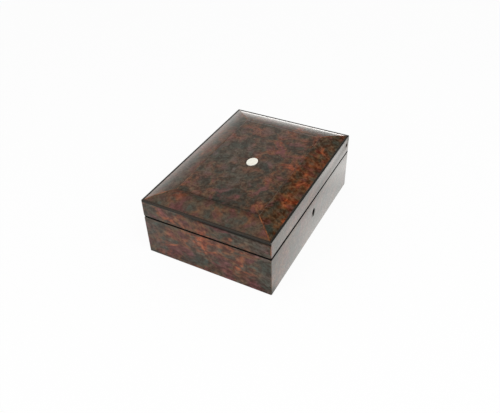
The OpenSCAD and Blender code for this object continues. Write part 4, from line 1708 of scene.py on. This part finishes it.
@dataclass
class Studio:
    """A plain white floor, a soft pale surround, soft lamps and the camera.

    The camera looks down on the box's front left corner. Its line of sight is given by an azimuth
    and an elevation at the frame's origin, and the frame is shifted from that line and rolled.

    Floor and sky have a second brightness that only a gloss sees. floor_lights gives the floor's by
    X - Y in metres, which grows away from the camera, and sky_lights the sky's by the sine of its
    height. flag is where, by the Y of a direction, a dark cloth behind the box begins and ends.
    direct_share is the part of the floor's look that is plain white and not lit by the lamps. Each of
    the lamps has a name, a place, a side and a power, in metres and watts.
    """

    azimuth_deg: float = -60.68
    elevation_deg: float = 39.06
    roll_deg: float = -2.17
    distance: float = 0.81337
    aside: float = -0.00581
    up: float = 0.01249
    lens_mm: float = 39.66
    sensor_mm: float = 36.0
    floor_half: float = 6.0
    floor_drop: float = 0.05 * MM
    floor_lights: tuple[tuple[float, float], ...] = (
        *((-0.045, 0.60), (-0.015, 1.20), (0.11, 1.36), (0.16, 1.18), (0.21, 1.06), (0.25, 1.20)),
        *((0.285, 1.42), (0.32, 1.38), (0.355, 1.12), (0.40, 0.78), (0.48, 1.00), (0.60, 3.10)),
        *((0.80, 3.60), (1.20, 3.90)),
    )
    sky_lights: tuple[tuple[float, float], ...] = (
        *((0.00, 0.95), (0.05, 0.82), (0.10, 0.80), (0.15, 0.77), (0.20, 0.63), (0.25, 0.53), (0.30, 0.45)),
        *((0.38, 0.36), (0.45, 0.31), (0.52, 0.27), (0.58, 0.23), (0.62, 0.19), (0.66, 0.15), (0.72, 0.14)),
        *((0.78, 0.22), (0.85, 0.36)),
    )
    horizon_light: float = 1.6
    flag: tuple[float, float] = (0.38, 0.22)
    mirrored_tint: tuple[float, float, float] = (1.0, 0.99, 0.965)
    left_end: float = -0.13
    foot_shadow: float = 0.03
    direct_share: float = 0.93
    lamps: tuple[tuple[str, tuple[float, float, float], float, float], ...] = (
        ("key_softbox", (-0.7, -0.9, 1.5), 1.2, 16.0),
        ("fill_softbox", (-1.4, 0.6, 1.0), 1.0, 5.0),
    )

    def camera(self) -> None:
        """Makes the camera. Its axes are the line of sight's, turned by the roll about that line."""
        a, e, roll = (math.radians(v) for v in (self.azimuth_deg, self.elevation_deg, self.roll_deg))
        back = Vector((math.sin(a) * math.cos(e), -math.cos(a) * math.cos(e), math.sin(e)))
        right = Vector((0, 0, 1)).cross(back).normalized()
        above = back.cross(right)
        rolled_right = math.cos(roll) * right + math.sin(roll) * above
        rolled_up = math.cos(roll) * above - math.sin(roll) * right
        place = back * self.distance + rolled_right * self.aside + rolled_up * self.up
        data = bpy.data.cameras.new("camera")
        data.lens = self.lens_mm
        data.sensor_width = self.sensor_mm
        data.clip_start = 0.01
        camera = linked("camera", data)
        rows = [(*values, p) for values, p in zip(zip(rolled_right, rolled_up, back), place)]
        camera.matrix_world = Matrix([*rows, (0, 0, 0, 1)])
        bpy.context.scene.camera = camera

    def mirrored_floor(self, tree: NodeTree) -> Field:
        """Gives the floor's brightness in a gloss. A narrow shadow lies along the foot of the left end.

        Args:
            tree: the node tree.

        Returns:
            The brightness.
        """
        split = add(tree, "SeparateXYZ", {0: add(tree, "TexCoord")["Object"]})
        x, y = split["X"], split["Y"]
        near, (far, brightest) = self.floor_lights[0][0], self.floor_lights[-1]
        stops = [((place - near) / (far - near), light / brightest) for place, light in self.floor_lights]
        along = add(tree, "MapRange", {"Value": x - y, "From Min": near, "From Max": far})
        lit = add(tree, "ValToRGB", {0: along}, stops) * brightest
        shaded = abs(x - self.left_end).fade(0.0, self.foot_shadow, 0.4) * y.above(-0.1)
        return lit * (1.0 - shaded)

    def floor(self) -> None:
        """Makes the floor: white where the eye or a gloss sees it, with the box's soft shadow on it."""
        half, level = self.floor_half, -self.floor_drop
        corners = [(-half, -half, level), (half, -half, level), (half, half, level), (-half, half, level)]
        mesh = bpy.data.meshes.new("floor")
        mesh.from_pydata(corners, [], [(0, 1, 2, 3)])
        floor = linked("floor", mesh)
        material = bpy.data.materials.new("white_floor")
        tree = empty_tree(material)
        light = add(tree, "LightPath")
        camera, glossy, clear = (light[f"Is {ray} Ray"] for ray in ("Camera", "Glossy", "Transmission"))
        strength = add(tree, "Mix", {0: glossy, 2: 1.0, 3: self.mirrored_floor(tree)})
        shades = {"Factor": glossy, "A": "ffffff", "B": (*self.mirrored_tint, 1.0)}
        tint = add(tree, "Mix", shades, data_type="RGBA")
        plain = add(tree, "BsdfDiffuse", {"Color": "f4f4f4"})
        white = add(tree, "Emission", {"Color": tint, "Strength": strength})
        share = camera.most(glossy.most(clear)) * self.direct_share
        mix = add(tree, "MixShader", {0: share, 1: plain, 2: white})
        add(tree, "OutputMaterial", {"Surface": mix})
        mesh.materials.append(material)

    def surround(self) -> None:
        """Makes the world: plain light for matt surfaces, and for gloss a pale horizon under a dim roof."""
        world = bpy.data.worlds.new("studio")
        bpy.context.scene.world = world
        tree = empty_tree(world)
        split = add(tree, "SeparateXYZ", {0: add(tree, "TexCoord")["Generated"]})
        y, z = split["Y"], split["Z"]
        sockets = {0: add(tree, "ValToRGB", {0: z}, self.sky_lights), 1: self.mirrored_tint}
        sky = add(tree, "VectorMath", sockets, operation="MULTIPLY")
        covered = z.fade(0.58, 0.40, 0.15) + 0.6
        strength = self.horizon_light - y.fade(*self.flag[::-1], self.horizon_light) * covered
        mirrored = add(tree, "VectorMath", {0: sky, "Scale": strength}, operation="SCALE")
        light = add(tree, "LightPath")
        lit = {"Factor": light["Is Glossy Ray"], "A": "c4c4c4", "B": mirrored}
        seen = {"Factor": light["Is Camera Ray"], "A": add(tree, "Mix", lit, data_type="RGBA"), "B": "ffffff"}
        background = add(tree, "Background", {"Color": add(tree, "Mix", seen, data_type="RGBA")})
        add(tree, "OutputWorld", {"Surface": background})

    def lamp(self, name: str, place: Sequence[float], size: float, watts: float) -> None:
        """Makes a square softbox that faces the box.

        Args:
            name: its name.
            place: where it stands, in metres.
            size: its side, in metres.
            watts: its power.
        """
        data = bpy.data.lights.new(name, "AREA")
        data.size = size
        data.energy = watts
        lamp = linked(name, data)
        lamp.location = place
        lamp.rotation_mode = "QUATERNION"
        lamp.rotation_quaternion = (-Vector(place)).to_track_quat("-Z", "Y")

    def build(self) -> None:
        """Makes the whole studio."""
        self.camera()
        self.floor()
        self.surround()
        for lamp in self.lamps:
            self.lamp(*lamp)
        bpy.context.scene.view_settings.view_transform = "Standard"


# ---------------------------------------------------------------- main


# dark spots on the front: painted shade inside the keyhole and round its mouth, then dirt at the chip and
# near the lid's front right corner
KEYHOLE_SHADE_AND_CHIP_DIRT = spots(
    (0, -87, 37.8, 10, 2.2), (0, -90, 41, 6.5, 3.0), (120.5, -93, 77, 5, 1.8), (128, -93, 85, 10, 0.4),
)


def side_leaves() -> dict[Side, Material]:
    """Paints the leaves on the box's four sides. A leaf runs from the base up over the lid's side.

    Returns:
        Each side's material.
    """
    place = LeafPlace.SIDE
    return {
        Side.FRONT: BurrLeaf(
            "burr_front", place, (31, 5, 12), warmth=-0.10, play=0.4, stains_and_shade=KEYHOLE_SHADE_AND_CHIP_DIRT
        ).paint(),
        Side.RIGHT: BurrLeaf("burr_right", place, (7, 160, 40), play=0.65).paint(),
        Side.BACK: BurrLeaf("burr_back", place, (80, -60, 91), play=0.65).paint(),
        Side.LEFT: BurrLeaf(
            "burr_left",
            place,
            (-45, 22, 64),
            warmth=0.11,
            play=0.75,
            figure_spots=left_spots(
                (6, 50, 26, 0.24), (-55, 47, 18, 0.26), (-38, 73, 5.5, 0.55), (8, 70, 26, 0.40),
                (-33, 70, 13, 0.22), (60, 66, 14, 0.15), (-14, 50, 18, 0.42), (-36, 74, 20, -0.16),
                (45, 74, 44, 0.12), (55, 46, 22, 0.40), (25, 8, 14, 0.42), (-5, 18, 12, 0.20),
                (-66, 30, 14, -0.20), (-66, 77, 26, -0.34), (-88, 74, 22, -0.34), (-90, 44, 20, -0.36),
                (90, 5, 20, -0.34), (24, 28, 14, -0.20), (-88, 18, 24, -0.45), (12, 24, 16, -0.28),
                (-34, 30, 14, -0.20), (90, 36, 24, -0.24),
            ),
            crimsons=left_spots(
                (-67, 13, 18, 0.7), (-36, 10, 14, 0.6), (27, 9, 14, 0.6), (62, 12, 26, 0.6),
                (86, 48, 18, 0.4),
            ),
            greens=left_spots(
                (-88, 54, 18, 0.8), (-88, 22, 26, 0.9), (-72, 76, 26, 0.9), (-50, 82, 16, 0.5),
                (50, 83, 14, 0.8), (76, 18, 20, 0.7), (-20, 6, 12, 0.7), (-50, 8, 14, 0.5),
                (84, 82, 20, 0.7), (88, 60, 16, 0.7), (12, 26, 16, 0.5),
            ),
            stretch=(1.0, 0.6, 1.0),
            tints=1.6,
        ).paint(),
    }


def border_leaves() -> dict[Side, Material]:
    """Paints the leaves on the cushion's four borders.

    Returns:
        Each side's material.
    """
    place = LeafPlace.CUSHION
    return {
        Side.FRONT: BurrLeaf(
            "burr_front_border",
            place,
            (140, 33, 17),
            warmth=0.03,
            play=0.72,
            figure_spots=spots(
                (0, -60, 95, 60, 0.08), (-64, -80, 92, 15, 0.36), (-36, -66, 94, 24, 0.20),
                (-12, -76, 92, 20, 0.10), (50, -76, 92, 34, 0.14), (88, -64, 92, 18, -0.16),
                (-77, -64, 92, 18, -0.16), (-110, -82, 91, 22, -0.34),
            ),
            mottle=0.9,
            greens=spots((86, -70, 93, 24, 0.7), (0, -86, 91, 14, 0.5), (-42, -86, 91, 12, 0.5)),
        ).paint(),
        Side.RIGHT: BurrLeaf(
            "burr_right_border", place, (-90, 31, 8), (0, 0, 90), play=0.6, mottle=0.8
        ).paint(),
        Side.BACK: BurrLeaf(
            "burr_back_border",
            place,
            (55, 71, 20),
            warmth=0.02,
            play=0.5,
            figure_spots=spots((42, 66, 94, 46, 0.26)),
            greens=spots((-80, 66, 94, 34, 0.6), (94, 66, 94, 24, 0.6), (30, 70, 94, 40, 0.4)),
            mottle=0.75,
        ).paint(),
        Side.LEFT: BurrLeaf(
            "burr_left_border",
            place,
            (101, -14, 3),
            (0, 0, 90),
            play=0.35,
            figure_spots=spots(
                (-107, 52, 94, 20, 0.26), (-103, -46, 94, 30, 0.20), (-114, -30, 93, 16, -0.22),
                (-121, 25, 92, 16, -0.16),
            ),
            crimsons=spots((-122, 40, 92, 16, 0.4), (-104, 56, 94, 14, 0.4)),
            greens=spots(
                (-100, 20, 95, 30, 0.5), (-112, 72, 93, 34, 0.5), (-118, -28, 93, 16, 0.3),
                (-118, -66, 93, 16, 0.5),
            ),
            mottle=0.6,
            tints=1.3,
        ).paint(),
    }


def centre_leaf() -> Material:
    """Paints the lid's centre leaf.

    Returns:
        The material.
    """
    return BurrLeaf(
        "burr_centre",
        LeafPlace.CUSHION,
        (140, 33, 17),
        warmth=0.03,
        play=0.62,
        figure_spots=top_spots(
            (0, -58, 50, 0.14), (-36, -42, 28, 0.14), (-28, -34, 18, 0.26), (26, -44, 34, 0.18),
            (50, -20, 32, 0.30), (52, 62, 34, 0.20), (-45, 17, 15, 0.18), (-82, 52, 18, 0.16),
            (70, 30, 30, 0.06), (8, 40, 46, -0.16), (-2, -22, 17, -0.22), (-72, 2, 30, -0.12),
            (-80, -30, 20, -0.14), (90, -45, 30, -0.10),
        ),
        crimsons=top_spots((-60, 44, 14, 0.5), (44, -20, 20, 0.4), (-84, -14, 14, 0.4), (-50, 0, 12, 0.3)),
        greens=top_spots(
            (5, 38, 62, 0.75), (-45, 2, 38, 0.9), (-24, -35, 14, 0.6), (-46, 50, 22, 0.6),
            (58, 48, 30, 0.5), (46, 3, 18, 0.5), (-84, 32, 26, 0.5), (92, 12, 44, 0.7),
            (90, -40, 32, 0.5), (4, -18, 18, 0.5),
        ),
        stains_and_shade=top_spots((0, 0, 14, 0.9)),
        mottle=0.9,
        tints=1.25,
        shade_mm=14.0,
        shades=1.5,
    ).paint()


def main() -> None:
    """Builds the studio and the box."""
    logging.basicConfig(level=logging.INFO, format="%(name)s: %(message)s")
    sizes = BoxSizes.from_frame()
    Studio().build()
    ebony = EbonisedPolish("ebonised_pear_french_polished", 0.8, "1e1a12").paint()
    dull_ebony = EbonisedPolish("ebonised_pear_rubbed_dull", 0.3, "362b22").paint()
    edgings = {side: dull_ebony if side is Side.LEFT else ebony for side in Side}
    brass = Metal("aged_brass", "c9a45c", "7d5f31", 0.28).paint()
    screw_brass = Metal("aged_brass_screws", "d0ad66", "6d5229", 0.32).paint()
    steel = Metal("filed_steel", "a4a4a6", "5d5b59", 0.34).paint()
    # each cloth's two colours are its painted shade in the pile and painted sheen of the laid nap
    velvet = NappedCloth("claret_silk_velvet", "2e0712", "621526", 0.9, 0.4).paint()
    baize = NappedCloth("green_wool_baize", "0f2419", "21452f", 0.8, 0.25).paint()
    Veneers(sizes, side_leaves()).build()
    CushionTop(sizes, border_leaves(), centre_leaf(), edgings, MotherOfPearl().paint()).build()
    Carcass(
        CarcassWood("mahogany_along_x", (0.08, 1, 1), KEYHOLE_SHADE_AND_CHIP_DIRT).paint(),
        CarcassWood("mahogany_along_y", (1, 0.08, 1)).paint(),
        ebony,
        steel,
        baize,
    ).build()
    Linings(velvet).build()
    Hardware(brass, screw_brass, steel).build()


if __name__ == "__main__":
    main()
